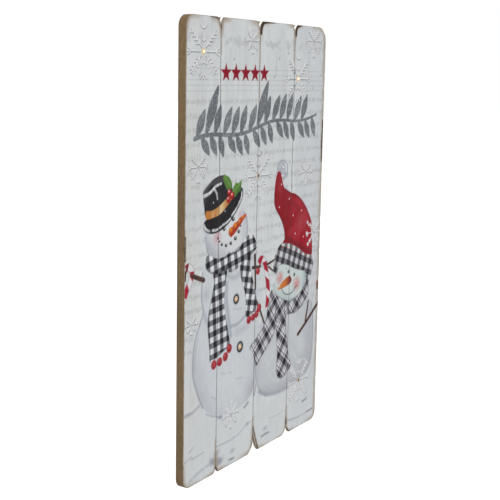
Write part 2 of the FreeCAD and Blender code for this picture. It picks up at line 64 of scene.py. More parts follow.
EDGE_ROUND = 0.8          # mm, the planks' rounded front edges
GRID_STEP = 0.88          # mm, between painted points
GRADING = (0.0, 0.15, 0.35, 0.6, 1.0, 1.6)        # mm, the first painted points of a row
SIDE_STEPS = (0.12, 0.3, 0.42, 0.54, 0.8, 1.0)    # shares of the depth, to the back
NOTCH_REACH = 15          # mm, of paint on the planks' sides to each side of a gap,
NOTCH_HEAD = 25           # down from the head
NOTCH_FOOT = 45           # and up from the foot
RIDGE_HEIGHT = 0.45       # mm, of the raised snow crystals
RIDGE_SINK = 0.15         # mm, of their feet in the planks
FLAT_MARGIN = 1.2         # mm, they keep off the planks' edges
FRONT_LIGHT = 1.18        # how brightly the lights show a white front
FRONT_SHEEN = 0.016       # and how much the gloss of the paint adds

# Texture places, from 0 to 1: the front in two halves, the side's rings in bands, then the back.
UV_FOOT, UV_TALL = 0.005, 0.99
HALVES_AT, HALF_WIDE = (0.005, 0.405), 0.39
SIDE_AT, BAND_WIDE, RING_WIDE = 0.80, 0.024, 0.0038
BACK_AT, BACK_WIDE = 0.9, 0.095
SIDE_BANDS = 4

CAMERA_PLACE = (-1.16590, -0.75157, 0.05704)      # solved from the board's corners
CAMERA_RIGHT = (0.53647, -0.84372, 0.01822)
CAMERA_BACK = (-0.83328, -0.52617, 0.16967)
SENSOR = 36.0             # mm
LENS = 72.43              # mm
FLOOR_SIZE = 60           # m
FLOOR_DROP = 0.45         # m, from the sign's foot to the floor
LAMP_AIM = (0.40, 0.42, -0.90)
LAMP_POWER = 1.1
LAMP_SPREAD = 25          # degrees


# ---- camera, floor and lights ---------------------------------------------------------------

def make_camera():
    camera = bpy.data.objects.new("camera", bpy.data.cameras.new("camera"))
    bpy.context.scene.collection.objects.link(camera)
    camera.data.sensor_width = SENSOR
    camera.data.lens = LENS
    right = Vector(CAMERA_RIGHT).normalized()
    back = Vector(CAMERA_BACK).normalized()
    turn = Matrix((right, back.cross(right).normalized(), back)).transposed()
    camera.matrix_world = Matrix.Translation(CAMERA_PLACE) @ turn.to_4x4()
    bpy.context.scene.camera = camera


def make_stage():
    """A white floor under the hung sign, an even white room and one soft lamp from upper left."""
    bpy.ops.mesh.primitive_plane_add(size=FLOOR_SIZE, location=(0, 0, FOOT_Z - FLOOR_DROP))
    floor = bpy.context.object
    floor.name = "floor"
    paint = Shader("floor_white")
    paint.set(Roughness=0.9, Base_Color=(0.93, 0.93, 0.93, 1))
    floor.data.materials.append(paint.material)
    world = bpy.data.worlds.new("white_room")
    world.use_nodes = True
    bpy.context.scene.world = world
    background = world.node_tree.nodes["Background"]
    background.inputs["Color"].default_value = (1, 1, 1, 1)
    background.inputs["Strength"].default_value = 1.0
    lamp = bpy.data.objects.new("soft_lamp", bpy.data.lights.new("soft_lamp", "SUN"))
    lamp.data.energy = LAMP_POWER
    lamp.data.angle = math.radians(LAMP_SPREAD)
    lamp.rotation_mode = "QUATERNION"
    lamp.rotation_quaternion = Vector(LAMP_AIM).to_track_quat("-Z", "Y")
    bpy.context.scene.collection.objects.link(lamp)
    bpy.context.scene.view_settings.view_transform = "Standard"


# ---- materials ------------------------------------------------------------------------------

class Shader:
    """A node material under construction. An underscore in an input's name stands for a space."""

    def __init__(self, name):
        self.material = bpy.data.materials.new(name)
        self.material.use_nodes = True
        self.tree = self.material.node_tree
        self.surface = self.tree.nodes["Principled BSDF"]
        self.place = self.node("TexCoord")

    def give(self, node, **inputs):
        """Sets a node's inputs, each to a value or to the output that feeds it."""
        for name, value in inputs.items():
            socket = node.inputs[name.replace("_", " ")]
            if isinstance(value, bpy.types.NodeSocket):
                self.tree.links.new(value, socket)
            else:
                socket.default_value = value

    def node(self, kind, **inputs):
        made = self.tree.nodes.new("ShaderNode" + kind)
        self.give(made, **inputs)
        return made

    def set(self, **inputs):
        self.give(self.surface, **inputs)

    def paint(self):
        """The planks' stored paint: its colour, and how well it covers as alpha."""
        node = self.node("Attribute")
        node.attribute_name = "paint"
        return node.outputs

    def noise(self, scale, stretch=(1, 1, 1), detail=4.0):
        """Noise at so many lumps a metre, squeezed along each axis by stretch."""
        mapping = self.node("Mapping", Scale=stretch, Vector=self.place.outputs["Object"])
        texture = self.node("TexNoise", Scale=scale, Detail=detail, Roughness=0.55,
                            Vector=mapping.outputs["Vector"])
        return texture.outputs["Fac"]

    def generated(self, axis):
        """How far along its own box a point is, from 0 to 1."""
        return self.node("SeparateXYZ", Vector=self.place.outputs["Generated"]).outputs[axis]

    def ramp(self, source, stops, sharp=False):
        """A colour ramp of (place, colour) stops."""
        node = self.node("ValToRGB", Fac=source)
        node.color_ramp.interpolation = "CONSTANT" if sharp else "LINEAR"
        elements = node.color_ramp.elements
        while len(elements) < len(stops):
            elements.new(0.5)
        for element, (place, colour) in zip(elements, stops):
            element.position = place
            element.color = (*colour, 1)
        return node.outputs["Color"]

    def span(self, source, low, high):
        """Maps noise's middle range to low..high."""
        node = self.node("MapRange", From_Min=0.3, From_Max=0.7, To_Min=low, To_Max=high,
                         Value=source)
        return node.outputs["Result"]

    def tint(self, first, second, kind="MULTIPLY", share=1.0):
        node = self.node("Mix")
        node.data_type = "RGBA"
        node.blend_type = kind
        self.give(node, Factor=share, A=first, B=second)
        return node.outputs["Result"]

    def bump(self, source, strength, depth):
        """Bump of so many metres; several calls stack."""
        node = self.node("Bump", Strength=strength, Distance=depth, Height=source)
        before = self.surface.inputs["Normal"].links
        if before:
            self.give(node, Normal=before[0].from_socket)
        self.set(Normal=node.outputs["Normal"])


def grey(value):
    return (value, value, value)


def mottled(name, dark, light, scale, stretch=(1, 1, 1), rough=(0.45, 0.65), bump=0.3,
            bump_scale=900, depth=0.0001, metallic=0.0):
    """A plain finish with uneven colour, uneven gloss and a fine surface."""
    made = Shader(name)
    made.set(Base_Color=made.ramp(made.noise(scale, stretch), [(0.35, dark), (0.65, light)]),
             Roughness=made.span(made.noise(scale * 2.3, stretch), *rough), Metallic=metallic)
    made.bump(made.noise(bump_scale, stretch), bump, depth)
    return made


def painted_front():
    """Paint over fibre board: the painted colours, brush marks and a matt, faintly fibrous film."""
    made = Shader("painted_front")
    paint = made.paint()
    cloudy = made.ramp(made.noise(160, (1, 1, 0.35)), [(0.3, grey(0.93)), (0.7, grey(1.0))])
    made.set(Base_Color=made.tint(paint["Color"], cloudy),
             Roughness=made.span(made.noise(90, (1, 1, 0.5)), 0.55, 0.75),
             Specular_IOR_Level=0.1)
    made.bump(made.noise(420, (1, 1, 0.12), detail=6.0), 0.25, 0.0002)
    made.bump(made.noise(1600), 0.2, 0.00008)
    return made.material


def raw_board():
    """The cut sides and backs: brown fibre board, darker to the foot, with some paint run over."""
    made = Shader("raw_board")
    fibres = made.ramp(made.noise(700, (1, 2.2, 0.4), detail=8.0),
                       [(0.3, (0.105, 0.066, 0.030)), (0.5, (0.170, 0.112, 0.056)),
                        (0.72, (0.235, 0.160, 0.086))])
    patches = made.ramp(made.noise(18, (1, 1, 0.5)), [(0.3, grey(0.78)), (0.7, grey(1.08))])
    tall = made.ramp(made.generated("Z"), [(0.0, grey(0.74)), (0.6, grey(0.80)), (1.0, grey(1.0))])
    bare = made.tint(made.tint(fibres, patches), tall)
    paint = made.paint()
    made.set(Base_Color=made.tint(bare, paint["Color"], "MIX", paint["Alpha"]),
             Roughness=made.span(made.noise(300), 0.72, 0.9), Specular_IOR_Level=0.2)
    made.bump(made.noise(1500, (1, 2.0, 0.5), detail=8.0), 0.5, 0.0002)
    return made.material


def lit_lens(name, tip, ring, strength, reach=0.03):
    """A resin lens glowing at its tip, ringed by a deeper tone, with tinned leads behind."""
    made = Shader(name)
    depth = made.generated("Y")
    core, resin = [tuple(0.5 * part for part in tone) for tone in (tip, ring)]
    body = made.ramp(depth, [(reach, core), (reach + 0.03, resin), (0.30, (0.75, 0.55, 0.35)),
                             (0.5, grey(0.6))])
    light = made.ramp(depth, [(reach, tip), (reach + 0.03, ring), (0.14, (0.75, 0.33, 0.05)),
                              (0.3, grey(0))])
    made.set(Base_Color=body, Emission_Color=light, Emission_Strength=strength,
             Roughness=made.span(made.noise(2500), 0.12, 0.3))
    made.bump(made.noise(3000), 0.05, 0.00005)
    return made.material


def cell_film(name, nub_up):
    """A plain two-tone film: dark body, coppery shoulder, bare steel ends."""
    made = Shader(name)
    steel, copper, dark = (0.62, 0.62, 0.6), (0.55, 0.3, 0.12), (0.02, 0.024, 0.03)
    stops = [(0.0, steel), (0.012, dark), (0.72, copper), (0.96, steel)]
    if not nub_up:
        stops = [(0.0, steel), (0.04, copper), (0.28, dark), (0.988, steel)]
    worn = made.ramp(made.noise(120), [(0.3, grey(0.8)), (0.7, grey(1.0))])
    made.set(Base_Color=made.tint(made.ramp(made.generated("Z"), stops, sharp=True), worn),
             Roughness=made.span(made.noise(300), 0.25, 0.42), Metallic=0.4)
    made.bump(made.noise(1200), 0.1, 0.00005)
    return made.material


def board_green():
    """Green solder mask with faint tracks; the sealed chip stands off it in black resin."""
    made = Shader("board_green")
    mask = made.ramp(made.noise(500, (0.3, 1, 1)), [(0.4, (0.012, 0.09, 0.035)),
                                                    (0.6, (0.03, 0.17, 0.07))])
    chip = made.ramp(made.generated("Y"), [(0.0, grey(1.0)), (0.5, grey(0.06))], sharp=True)
    made.set(Base_Color=made.tint(mask, chip), Roughness=made.span(made.noise(400), 0.25, 0.45))
    made.bump(made.noise(900), 0.2, 0.0001)
    return made.material


def cad_materials():
    """Gives every carried-over node its material."""
    finishes = {
        "batten_wood": mottled("pine", (0.36, 0.23, 0.11), (0.62, 0.45, 0.26), 30, (0.25, 3, 3),
                               (0.55, 0.75), 0.5, 220, 0.0004),
        "screw_steel": mottled("yellow_zinc", (0.50, 0.42, 0.20), (0.72, 0.66, 0.44), 300,
                               rough=(0.25, 0.45), bump=0.2, metallic=1.0),
        "hanger_metal": mottled("bright_zinc", (0.45, 0.46, 0.48), (0.70, 0.71, 0.73), 260,
                                (0.2, 1, 1), (0.22, 0.42), 0.25, metallic=1.0),
        "heat_shrink": mottled("heat_shrink", grey(0.012), grey(0.03), 400, bump=0.4),
        "hot_glue": mottled("hot_glue", (0.62, 0.60, 0.52), (0.82, 0.80, 0.72), 180,
                            rough=(0.15, 0.35), bump=0.5, bump_scale=240, depth=0.0006),
        "wire_jacket": mottled("wire_jacket", (0.52, 0.52, 0.50), (0.68, 0.68, 0.66), 90,
                               rough=(0.35, 0.5), bump=0.2),
        "foam_tape": mottled("foam_tape", (0.62, 0.62, 0.60), (0.80, 0.80, 0.78), 900,
                             rough=(0.8, 0.95), bump=0.8, bump_scale=1800),
        "box_plastic": mottled("moulded_black", grey(0.016), grey(0.032), 60, rough=(0.42, 0.6),
                               bump=0.5, bump_scale=2600, depth=0.00012),
        "switch_knob": mottled("knob_black", grey(0.01), grey(0.022), 200, rough=(0.2, 0.35),
                               bump=0.1),
        "switch_metal": mottled("tinned_can", (0.42, 0.43, 0.44), (0.62, 0.63, 0.64), 350,
                                rough=(0.25, 0.4), bump=0.15, metallic=1.0),
        "contact_metal": mottled("nickel", (0.52, 0.50, 0.46), (0.74, 0.72, 0.68), 320,
                                 rough=(0.18, 0.35), bump=0.15, metallic=1.0)}
    finishes["hot_glue"].set(Subsurface_Weight=0.4, Subsurface_Scale=0.004)
    finishes["cover_plastic"] = finishes["box_plastic"]
    chosen = {slot: made.material for slot, made in finishes.items()}
    chosen["circuit_board"] = board_green()
    bright = lit_lens("lens_bright", (1.0, 0.90, 0.68), (0.92, 0.60, 0.28), 0.85)
    button_lens = lit_lens("lens_button", (0.70, 0.48, 0.30), (0.62, 0.36, 0.14), 0.5)
    dim = lit_lens("lens_dim", (0.16, 0.10, 0.06), (0.62, 0.44, 0.26), 0.10, reach=0.07)
    own = dict(zip(LAMPS, (bright, bright, dim, button_lens, button_lens, dim)),
               cell_left=cell_film("cell_film_left", True),
               cell_right=cell_film("cell_film_right", False))
    for part in frame["record"]["subparts"]:
        name = part["node"]
        if name not in PLANKS:
            materials = frame["nodes"][name].data.materials
            materials.clear()
            materials.append(own[name] if name in own else chosen[part["material_slot"]])


# ---- plane geometry in millimetres ----------------------------------------------------------

def noise(across, up, size, seed, octaves=3):
    """Smooth noise from 0 to 1 with lumps of about size millimetres, (wide, tall) or one number."""
    wide, tall = size if isinstance(size, tuple) else (size, size)
    period = 64
    total = np.zeros(len(across))
    weight = 0.0
    for octave in range(octaves):
        cells = np.random.default_rng(seed * 31 + octave).random((period, period))
        u = across / wide * 2 ** octave
        v = up / tall * 2 ** octave
        i, j = np.floor(u).astype(int), np.floor(v).astype(int)
        fu, fv = u - i, v - j
        fu, fv = fu * fu * (3 - 2 * fu), fv * fv * (3 - 2 * fv)
        i0, i1, j0, j1 = i % period, (i + 1) % period, j % period, (j + 1) % period
        lower = cells[i0, j0] * (1 - fu) + cells[i1, j0] * fu
        upper = cells[i0, j1] * (1 - fu) + cells[i1, j1] * fu
        total += (lower * (1 - fv) + upper * fv) * 0.5 ** octave
        weight += 0.5 ** octave
    return total / weight


def step(value, low, high):
    """0 below low, 1 above high, smooth between."""
    share = np.clip((value - low) / (high - low), 0, 1)
    return share * share * (3 - 2 * share)


def smooth(points, closed=False, steps=6):
    """A curve through the points."""
    p = np.array(points, float)
    before, after = (p[-1:], p[:2]) if closed else (2 * p[:1] - p[1:2], 2 * p[-1:] - p[-2:-1])
    p = np.vstack([before, p, after])
    t = np.arange(steps) / steps
    runs = []
    for a, b, c, d in zip(p, p[1:], p[2:], p[3:]):
        runs.append(b + 0.5 * (np.outer(t, c - a) + np.outer(t ** 2, 2 * a - 5 * b + 4 * c - d)
                               + np.outer(t ** 3, 3 * b - a - 3 * c + d)))
    return np.vstack(runs + [p[-2:-1]])


def distance(x, z, line):
    """Each point's distance to a run of segments, and how far along it the nearest place is."""
    best = np.full(len(x), np.inf)
    along = np.zeros(len(x))
    count = len(line) - 1
    for index, ((x0, z0), (x1, z1)) in enumerate(zip(line[:-1], line[1:])):
        dx, dz = x1 - x0, z1 - z0
        share = np.clip(((x - x0) * dx + (z - z0) * dz) / max(dx * dx + dz * dz, 1e-9), 0, 1)
        gap = np.hypot(x - x0 - share * dx, z - z0 - share * dz)
        nearer = gap < best
        best[nearer] = gap[nearer]
        along[nearer] = (index + share[nearer]) / count
    return best, along


def inside(x, z, ring):
    """Which points a closed ring surrounds."""
    odd = np.zeros(len(x), bool)
    for (x0, z0), (x1, z1) in zip(ring[:-1], ring[1:]):
        if z0 != z1:
            odd ^= ((z0 > z) != (z1 > z)) & (x < x0 + (z - z0) * (x1 - x0) / (z1 - z0))
    return odd


def turned(points, place, degrees=0.0, scale=1.0):
    """Points scaled and turned about their own origin, then moved to place."""
    c, s = math.cos(math.radians(degrees)) * scale, math.sin(math.radians(degrees)) * scale
    return [(place[0] + x * c - z * s, place[1] + x * s + z * c) for x, z in points]


def ring_points(place, radius, count=20):
    turns = [2 * math.pi * index / count for index in range(count)]
    return [(place[0] + radius * math.cos(a), place[1] + radius * math.sin(a)) for a in turns]


# ---- painting -------------------------------------------------------------------------------

def rgb(red, green, blue):
    return np.array((red, green, blue)) / 255


class Painting:
    """Colours at points of the board: across and up in millimetres, edge the depth in from the
    plank's outline. A colour may be a function of place; soft is the width of a blurred rim;
    within is a mask from fill that keeps paint inside an earlier shape."""

    def __init__(self, across, up, edge):
        self.across, self.up, self.edge = across, up, edge
        self.colour = np.ones((len(across), 3))

    def near(self, line, margin):
        """The points in a line's box widened by margin, and their places."""
        low, high = np.min(line, axis=0) - margin, np.max(line, axis=0) + margin
        where = np.flatnonzero((self.across > low[0]) & (self.across < high[0])
                               & (self.up > low[1]) & (self.up < high[1]))
        return where, self.across[where], self.up[where]

    def blend(self, where, amount, colour, strength=1.0, within=None):
        if callable(colour):
            colour = colour(self.across[where], self.up[where])
        if within is not None:
            amount = amount * within[where]
        amount = np.clip(amount * strength, 0, 1)[:, None]
        self.colour[where] = self.colour[where] * (1 - amount) + colour * amount

    def everywhere(self, amount, colour):
        self.blend(np.arange(len(self.across)), amount, colour)

    def fill(self, points, colour, soft=0.7, strength=1.0, sharp=False):
        """Fills a closed shape, cornered if sharp, and returns its mask over all points."""
        ring = np.array(points + points[:1], float) if sharp else smooth(points, closed=True)
        where, x, z = self.near(ring, soft)
        depth, _ = distance(x, z, ring)
        depth[~inside(x, z, ring)] *= -1
        mask = np.zeros(len(self.across))
        mask[where] = np.clip(0.5 + depth / soft, 0, 1)
        self.blend(where, mask[where], colour, strength)
        return mask

    def stroke(self, points, width, colour, soft=0.7, strength=1.0, taper=0.0, dry=0.0,
               within=None):
        """A brush stroke; taper thins its far end, or its start if negative; dry breaks it up."""
        line = smooth(points)
        where, x, z = self.near(line, width / 2 + soft)
        gap, along = distance(x, z, line)
        if taper < 0:
            along = 1 - along
        half = width / 2 * (1 - abs(taper) * along)
        amount = np.clip(0.5 + (half - gap) / soft, 0, 1)
        if dry:
            amount = amount * (1 - dry * step(noise(x, z, 2.6, 5), 0.42, 0.62))
        self.blend(where, amount, colour, strength, within)

    def strokes(self, rows, colour, **how):
        """Strokes alike but for (points, width)."""
        for points, width in rows:
            self.stroke(points, width, colour, **how)

    def folds(self, rows, **how):
        """Strokes that have their own (points, width, tone, soft, strength)."""
        for points, width, tone, soft, strength in rows:
            self.stroke(points, width, rgb(*tone), soft, strength, **how)

    def around(self, place, reach, squash):
        """The points within reach of a place, and how far off they are."""
        where, x, z = self.near([place], reach)
        return where, np.hypot(x - place[0], (z - place[1]) / squash)

    def dot(self, place, radius, colour, soft=0.7, strength=1.0, squash=1.0, within=None):
        where, gap = self.around(place, radius + soft, squash)
        self.blend(where, np.clip(0.5 + (radius - gap) / soft, 0, 1), colour, strength, within)

    def dots(self, rows, colour, **how):
        """Dots alike but for (place, radius)."""
        for place, radius in rows:
            self.dot(place, radius, colour, **how)

    def glow(self, place, radius, colour, strength=1.0, squash=1.0, within=None):
        """A soft round patch that fades from its middle."""
        where, gap = self.around(place, radius, squash)
        self.blend(where, np.clip(1 - gap / radius, 0, 1) ** 1.3, colour, strength, within)

    def shade(self, mask, towards, colour, strength, reach=0, band=None):
        """Darkens or lights a filled shape over reach from its side in one direction, or over a
        band of places along that direction."""
        where = np.flatnonzero(mask > 0)
        x, z = self.across[where], self.up[where]
        side = (x * towards[0] + z * towards[1]) / math.hypot(*towards)
        amount = step(side, *(band or (side.max() - reach, side.max())))
        uneven = 0.75 + 0.5 * noise(x, z, 12, 7)
        self.blend(where, amount * mask[where] * strength * uneven, colour)


def mixed(tone, size, seed, amount):
    """A tone made uneven by noise."""
    return lambda x, z: tone + (noise(x, z, size, seed)[:, None] - 0.5) * amount


def woven(turn, offset, wander, mottle, tone):
    """Cloth: tone gives a colour from the places along and across a slightly bent weave."""
    c, s = math.cos(math.radians(turn)), math.sin(math.radians(turn))

    def colour(x, z):
        x, z = x - offset[0], z - offset[1]
        bend = (noise(x, z, 30, 11, 1) - 0.5) * wander
        uneven = 1 - mottle + 2 * mottle * noise(x, z, 3, 13)[:, None]
        return tone(x * c + z * s + bend, z * c - x * s + bend) * uneven

    return colour


def check(turn, cell, offset, light, middle, dark):
    """Woven squares: light, middle and dark where two dark stripes cross."""

    def tone(along, across):
        phases = [(along / cell) % 2, (across / cell) % 2]
        stripes = [(step(phase, 0.0, 0.12) - step(phase, 1.0, 1.12))[:, None] for phase in phases]
        one, both = np.maximum(*stripes), np.minimum(*stripes)
        return light * (1 - one) + (middle * (one - both) + dark * both)

    return woven(turn, offset, 1.6, 0.1, tone)


def tartan(turn, offset, light, dark):
    """Crossed stripes of several widths and darknesses, the same again after the last end."""
    ends = np.array([8.2, 11.0, 13.4, 16.2, 22.0])
    darkness = np.array([1.0, 0.0, 0.78, 0.0, 0.22])
    places = np.ravel(np.column_stack([np.r_[0, ends[:-1]] + 0.4, ends - 0.4]))

    def tone(along, across):
        stripes = [np.interp(place % ends[-1], places, np.repeat(darkness, 2), period=ends[-1])
                   for place in (along, across)]
        share = np.clip(0.5 * (stripes[0] + stripes[1]), 0, 1)[:, None]
        return light * (1 - share) + dark * share

    return woven(turn, offset, 2, 0.08, tone)


SNOW = rgb(208, 212, 215)
INK = rgb(46, 45, 48)
WOOD = mixed(rgb(76, 58, 56), (4, 2), 51, 0.16)


def undercoat(art):
    """Uneven streaky white paint, cooler to the right and warmer in patches to the left."""
    x, z = art.across, art.up
    cloud = noise(x, z, (26, 90), 1)
    art.everywhere(np.ones(len(x)), rgb(203, 206, 207))
    art.everywhere(0.55 * step(cloud, 0.35, 0.7), rgb(194, 197, 199))
    art.everywhere(0.30 * step(x, 230, 350), rgb(178, 181, 188))
    art.everywhere(0.25 * step(60 - x, 0, 60) * step(noise(x, z, 60, 2), 0.4, 0.7),
                   rgb(184, 182, 174))
    art.everywhere(0.35 * step(noise(x, z, (5, 120), 3), 0.5, 0.8), rgb(188, 190, 192))


def old_print(art):
    """A faded sheet under the paint: a music stave with a few notes and rows of unreadable type."""
    x, z = art.across, art.up
    fade = 0.4 + 0.6 * noise(x, z, 45, 21)
    faint = rgb(140, 140, 140)
    for index in range(5):
        line_up = 509 + index * 6.8
        art.everywhere(0.5 * fade * np.clip(1 - np.abs(z - line_up) / 0.9, 0, 1), faint)
    for across, up in ((28, 527), (104, 549), (205, 527), (217, 552), (241, 560), (313, 512),
                       (338, 531)):
        art.dot((across, up), 2.4, faint, strength=0.45, squash=0.75)
        art.stroke([(across + 2.2, up), (across + 2.2, up + 15)], 0.9, faint, strength=0.4)
    for across, foot, head in ((41, 533, 580), (47, 548, 566), (95, 535, 562), (210, 538, 560),
                               (240, 528, 541), (300, 520, 558)):
        art.stroke([(across, foot), (across, head)], 3.0, faint, soft=2, strength=0.16)
    rows = [(182 + 17.4 * index, 2.9) for index in range(19)] + [(571, 5.0)]
    for number, (row_up, half) in enumerate(rows):
        where = np.flatnonzero(np.abs(z - row_up) < half * 2.2)
        size = half / 2.9
        shift = number * 37.0
        along, pz = x[where] + shift, z[where]
        words = step(noise(along, pz * 0 + number, 11 * size, 23, 1), 0.20, 0.28)
        marks = step(noise(along, pz + shift, (1.7 * size, 3.6 * size), 24, 1), 0.30, 0.60)
        tall = half * (1 + 0.7 * step(noise(along, pz * 0, 2.6 * size, 25, 1), 0.66, 0.7))
        band = np.clip((tall - np.abs(pz - row_up)) / 1.2, 0, 1)
        art.blend(where, 0.38 * words * marks * band * fade[where], faint)


def leaf_points(base, degrees, length, width):
    """A pointed leaf's outline, from its base in one direction."""
    shape = [(0, 0), (0.22, 0.34), (0.52, 0.5), (0.82, 0.28), (1, 0), (0.82, -0.28), (0.52, -0.5),
             (0.22, -0.34)]
    return turned([(a * length, b * width) for a, b in shape], base, degrees)


def sprig(art):
    """A long grey sprig of leaves, rubbed as if printed with a worn block."""
    ink = mixed(rgb(108, 112, 116), 30, 32, 0.12)

    def worn(x, z):
        rubbed = step(noise(x, z, 1.8, 31), 0.56, 0.68)[:, None] * 0.4
        return ink(x, z) * (1 - rubbed) + rgb(186, 189, 190) * rubbed

    def on_stem(across):
        return across, 448 + 0.085 * (across - 18) + 4 * math.sin(across / 26)

    art.stroke([on_stem(across) for across in range(18, 335, 14)], 6.0, worn, taper=0.4)
    for index, across in enumerate(range(22, 300, 20)):
        length, width = (68, 18) if across in (42, 162) else (40, 15)
        art.fill(leaf_points(on_stem(across), 62 + 4 * (index % 3), length, width), worn)
    for index, across in enumerate(range(32, 325, 20)):
        art.fill(leaf_points(on_stem(across), -52 - 9 * (index % 3), 31, 13.5), worn)


def star_points(place, radius):
    """A five-pointed star's corners."""
    points = []
    for index in range(10):
        reach = radius if index % 2 == 0 else radius * 0.42
        angle = math.radians(90 + 36 * index)
        points.append((place[0] + reach * math.cos(angle), place[1] + reach * math.sin(angle)))
    return points


def red_stars(art):
    """Five small red stars over the sprig."""
    for across in (86, 109, 132, 155, 178):
        art.fill(star_points((across, 531.5), 12.5), mixed(rgb(134, 36, 50), 2.5, 41, 0.12),
                 sharp=True, soft=0.9)


def big_snowman_body(art):
    body = [(47, 300), (39, 280), (37, 262), (37, 244), (41, 231), (40, 225), (33, 212), (25, 198),
            (20, 180), (18.5, 160), (20, 145), (26, 130), (33, 115), (42, 100), (58, 88), (80, 79),
            (110, 76), (140, 79), (160, 88), (172, 104), (178, 125), (180, 150), (178, 175),
            (172, 195), (166, 210), (172, 228), (172, 250), (165, 275), (150, 300), (100, 310)]
    mask = art.fill(body, rgb(194, 198, 202), soft=2.5)
    art.shade(mask, (-1, -0.5), rgb(174, 177, 184), 0.7, 36)
    art.shade(mask, (1, -0.3), rgb(180, 184, 190), 0.6, 40)
    art.shade(mask, (0, -1), rgb(180, 184, 189), 0.55, 26)
    for place, radius, tone, strength in (((105, 240), 34, (203, 206, 209), 0.6),
                                          ((105, 130), 42, (200, 204, 207), 0.6),
                                          ((160, 96), 24, (160, 160, 168), 0.7),
                                          ((46, 250), 14, (168, 172, 180), 0.7)):
        art.glow(place, radius, rgb(*tone), strength, within=mask)
    outline = rgb(138, 140, 147)
    art.stroke(body[1:7], 2.4, outline, soft=2.2, strength=0.7)
    art.stroke(body[6:14], 2.8, outline, soft=2.4, strength=0.75, dry=0.2)
    art.stroke([(29, 196), (24, 176), (23, 156)], 2.0, outline, soft=2.4, strength=0.4)
    art.folds([([(42, 226), (50, 214), (62, 206)], 6, (160, 163, 172), 6, 0.7),
               ([(104, 197), (122, 197), (142, 205)], 4, (152, 156, 164), 3.4, 0.8),
               ([(120, 186), (145, 190), (160, 200)], 9, (170, 174, 181), 9, 0.6),
               ([(145, 210), (160, 222), (170, 232)], 8, (176, 179, 186), 7, 0.6),
               ([(95, 258), (94, 236), (99, 212), (106, 184)], 6, (152, 157, 167), 5, 0.75),
               ([(96, 268), (112, 262), (128, 268)], 6, (160, 164, 172), 6, 0.6),
               ([(150, 286), (160, 282), (166, 268)], 5, (160, 164, 172), 6, 0.6)])
    for ends in ([(82, 138), (94, 133)], [(100, 134), (110, 131)], [(60, 110), (74, 104)],
                 [(120, 120), (138, 118)], [(112, 219), (132, 217)]):
        art.stroke(ends, 2, rgb(170, 173, 180), soft=2, strength=0.6)


def big_snowman_head(art):
    head = [(44, 345), (44, 325), (47, 310), (54, 299), (68, 293), (90, 291), (112, 295),
            (130, 301), (139.5, 310), (143, 324), (140.5, 337), (133, 349), (124, 357), (90, 360)]
    mask = art.fill(head, rgb(204, 206, 208), soft=1.6)
    art.shade(mask, (-0.6, -1), rgb(164, 167, 174), 0.9, 34)
    art.shade(mask, (-1, 0), rgb(168, 171, 178), 0.7, 18)
    art.shade(mask, (1, 0), rgb(176, 180, 187), 0.8, 24)
    outline = rgb(140, 143, 150)
    art.stroke(head[7:12], 2.2, outline, soft=1.8, strength=0.75)
    art.stroke(head[1:6], 2.0, outline, soft=1.8, strength=0.6)
    art.dot((71, 322), 7.5, rgb(192, 154, 160), soft=10, strength=0.75, within=mask)
    art.glow((124, 346), 9, rgb(190, 156, 164), 0.6, within=mask)
    for across, up, radius in ((72.5, 320.5, 2.0), (76, 316, 1.5), (81.5, 311.2, 2.6),
                               (91.5, 308.8, 3.0), (102.5, 310.3, 3.1), (113.5, 315.3, 3.4),
                               (121.3, 323.8, 3.2), (125.4, 331, 1.9), (86.5, 331, 3.2),
                               (107.5, 342, 3.6)):
        art.dot((across, up), radius, INK, soft=1.0, squash=0.8)
        art.dot((across + 0.8, up + 0.8), radius * 0.4, rgb(178, 180, 184), soft=0.8)
    carrot = [(97.5, 328.5), (97, 323.5), (100, 319.8), (104, 318.5), (109, 321), (115, 324.5),
              (120, 328.5), (127, 333.5), (133, 338.5), (139, 342.5), (138.5, 346), (133, 345),
              (126, 342.8), (120.5, 340.8), (118.5, 337.8), (113, 337), (108.5, 335.2),
              (106.5, 332), (101.5, 331.5)]
    nose = art.fill(carrot, rgb(190, 96, 50), soft=0.8)
    art.shade(nose, (0.45, -1), rgb(150, 50, 44), 0.9, 15)
    for place, radius, tone in (((102, 328.5), 5.5, (222, 152, 52)),
                                ((112.5, 333.5), 5.5, (222, 150, 56)),
                                ((122.5, 338.5), 4.5, (208, 134, 84)),
                                ((132, 342.5), 5.0, (200, 134, 92))):
        art.glow(place, radius, rgb(*tone), 0.9, within=nose)
    for across, up in ((107.5, 332), (118, 337.5), (125.5, 341)):
        art.stroke([(across, up), (across + 1.5, up - 6)], 1.3, rgb(126, 46, 38), strength=0.6)


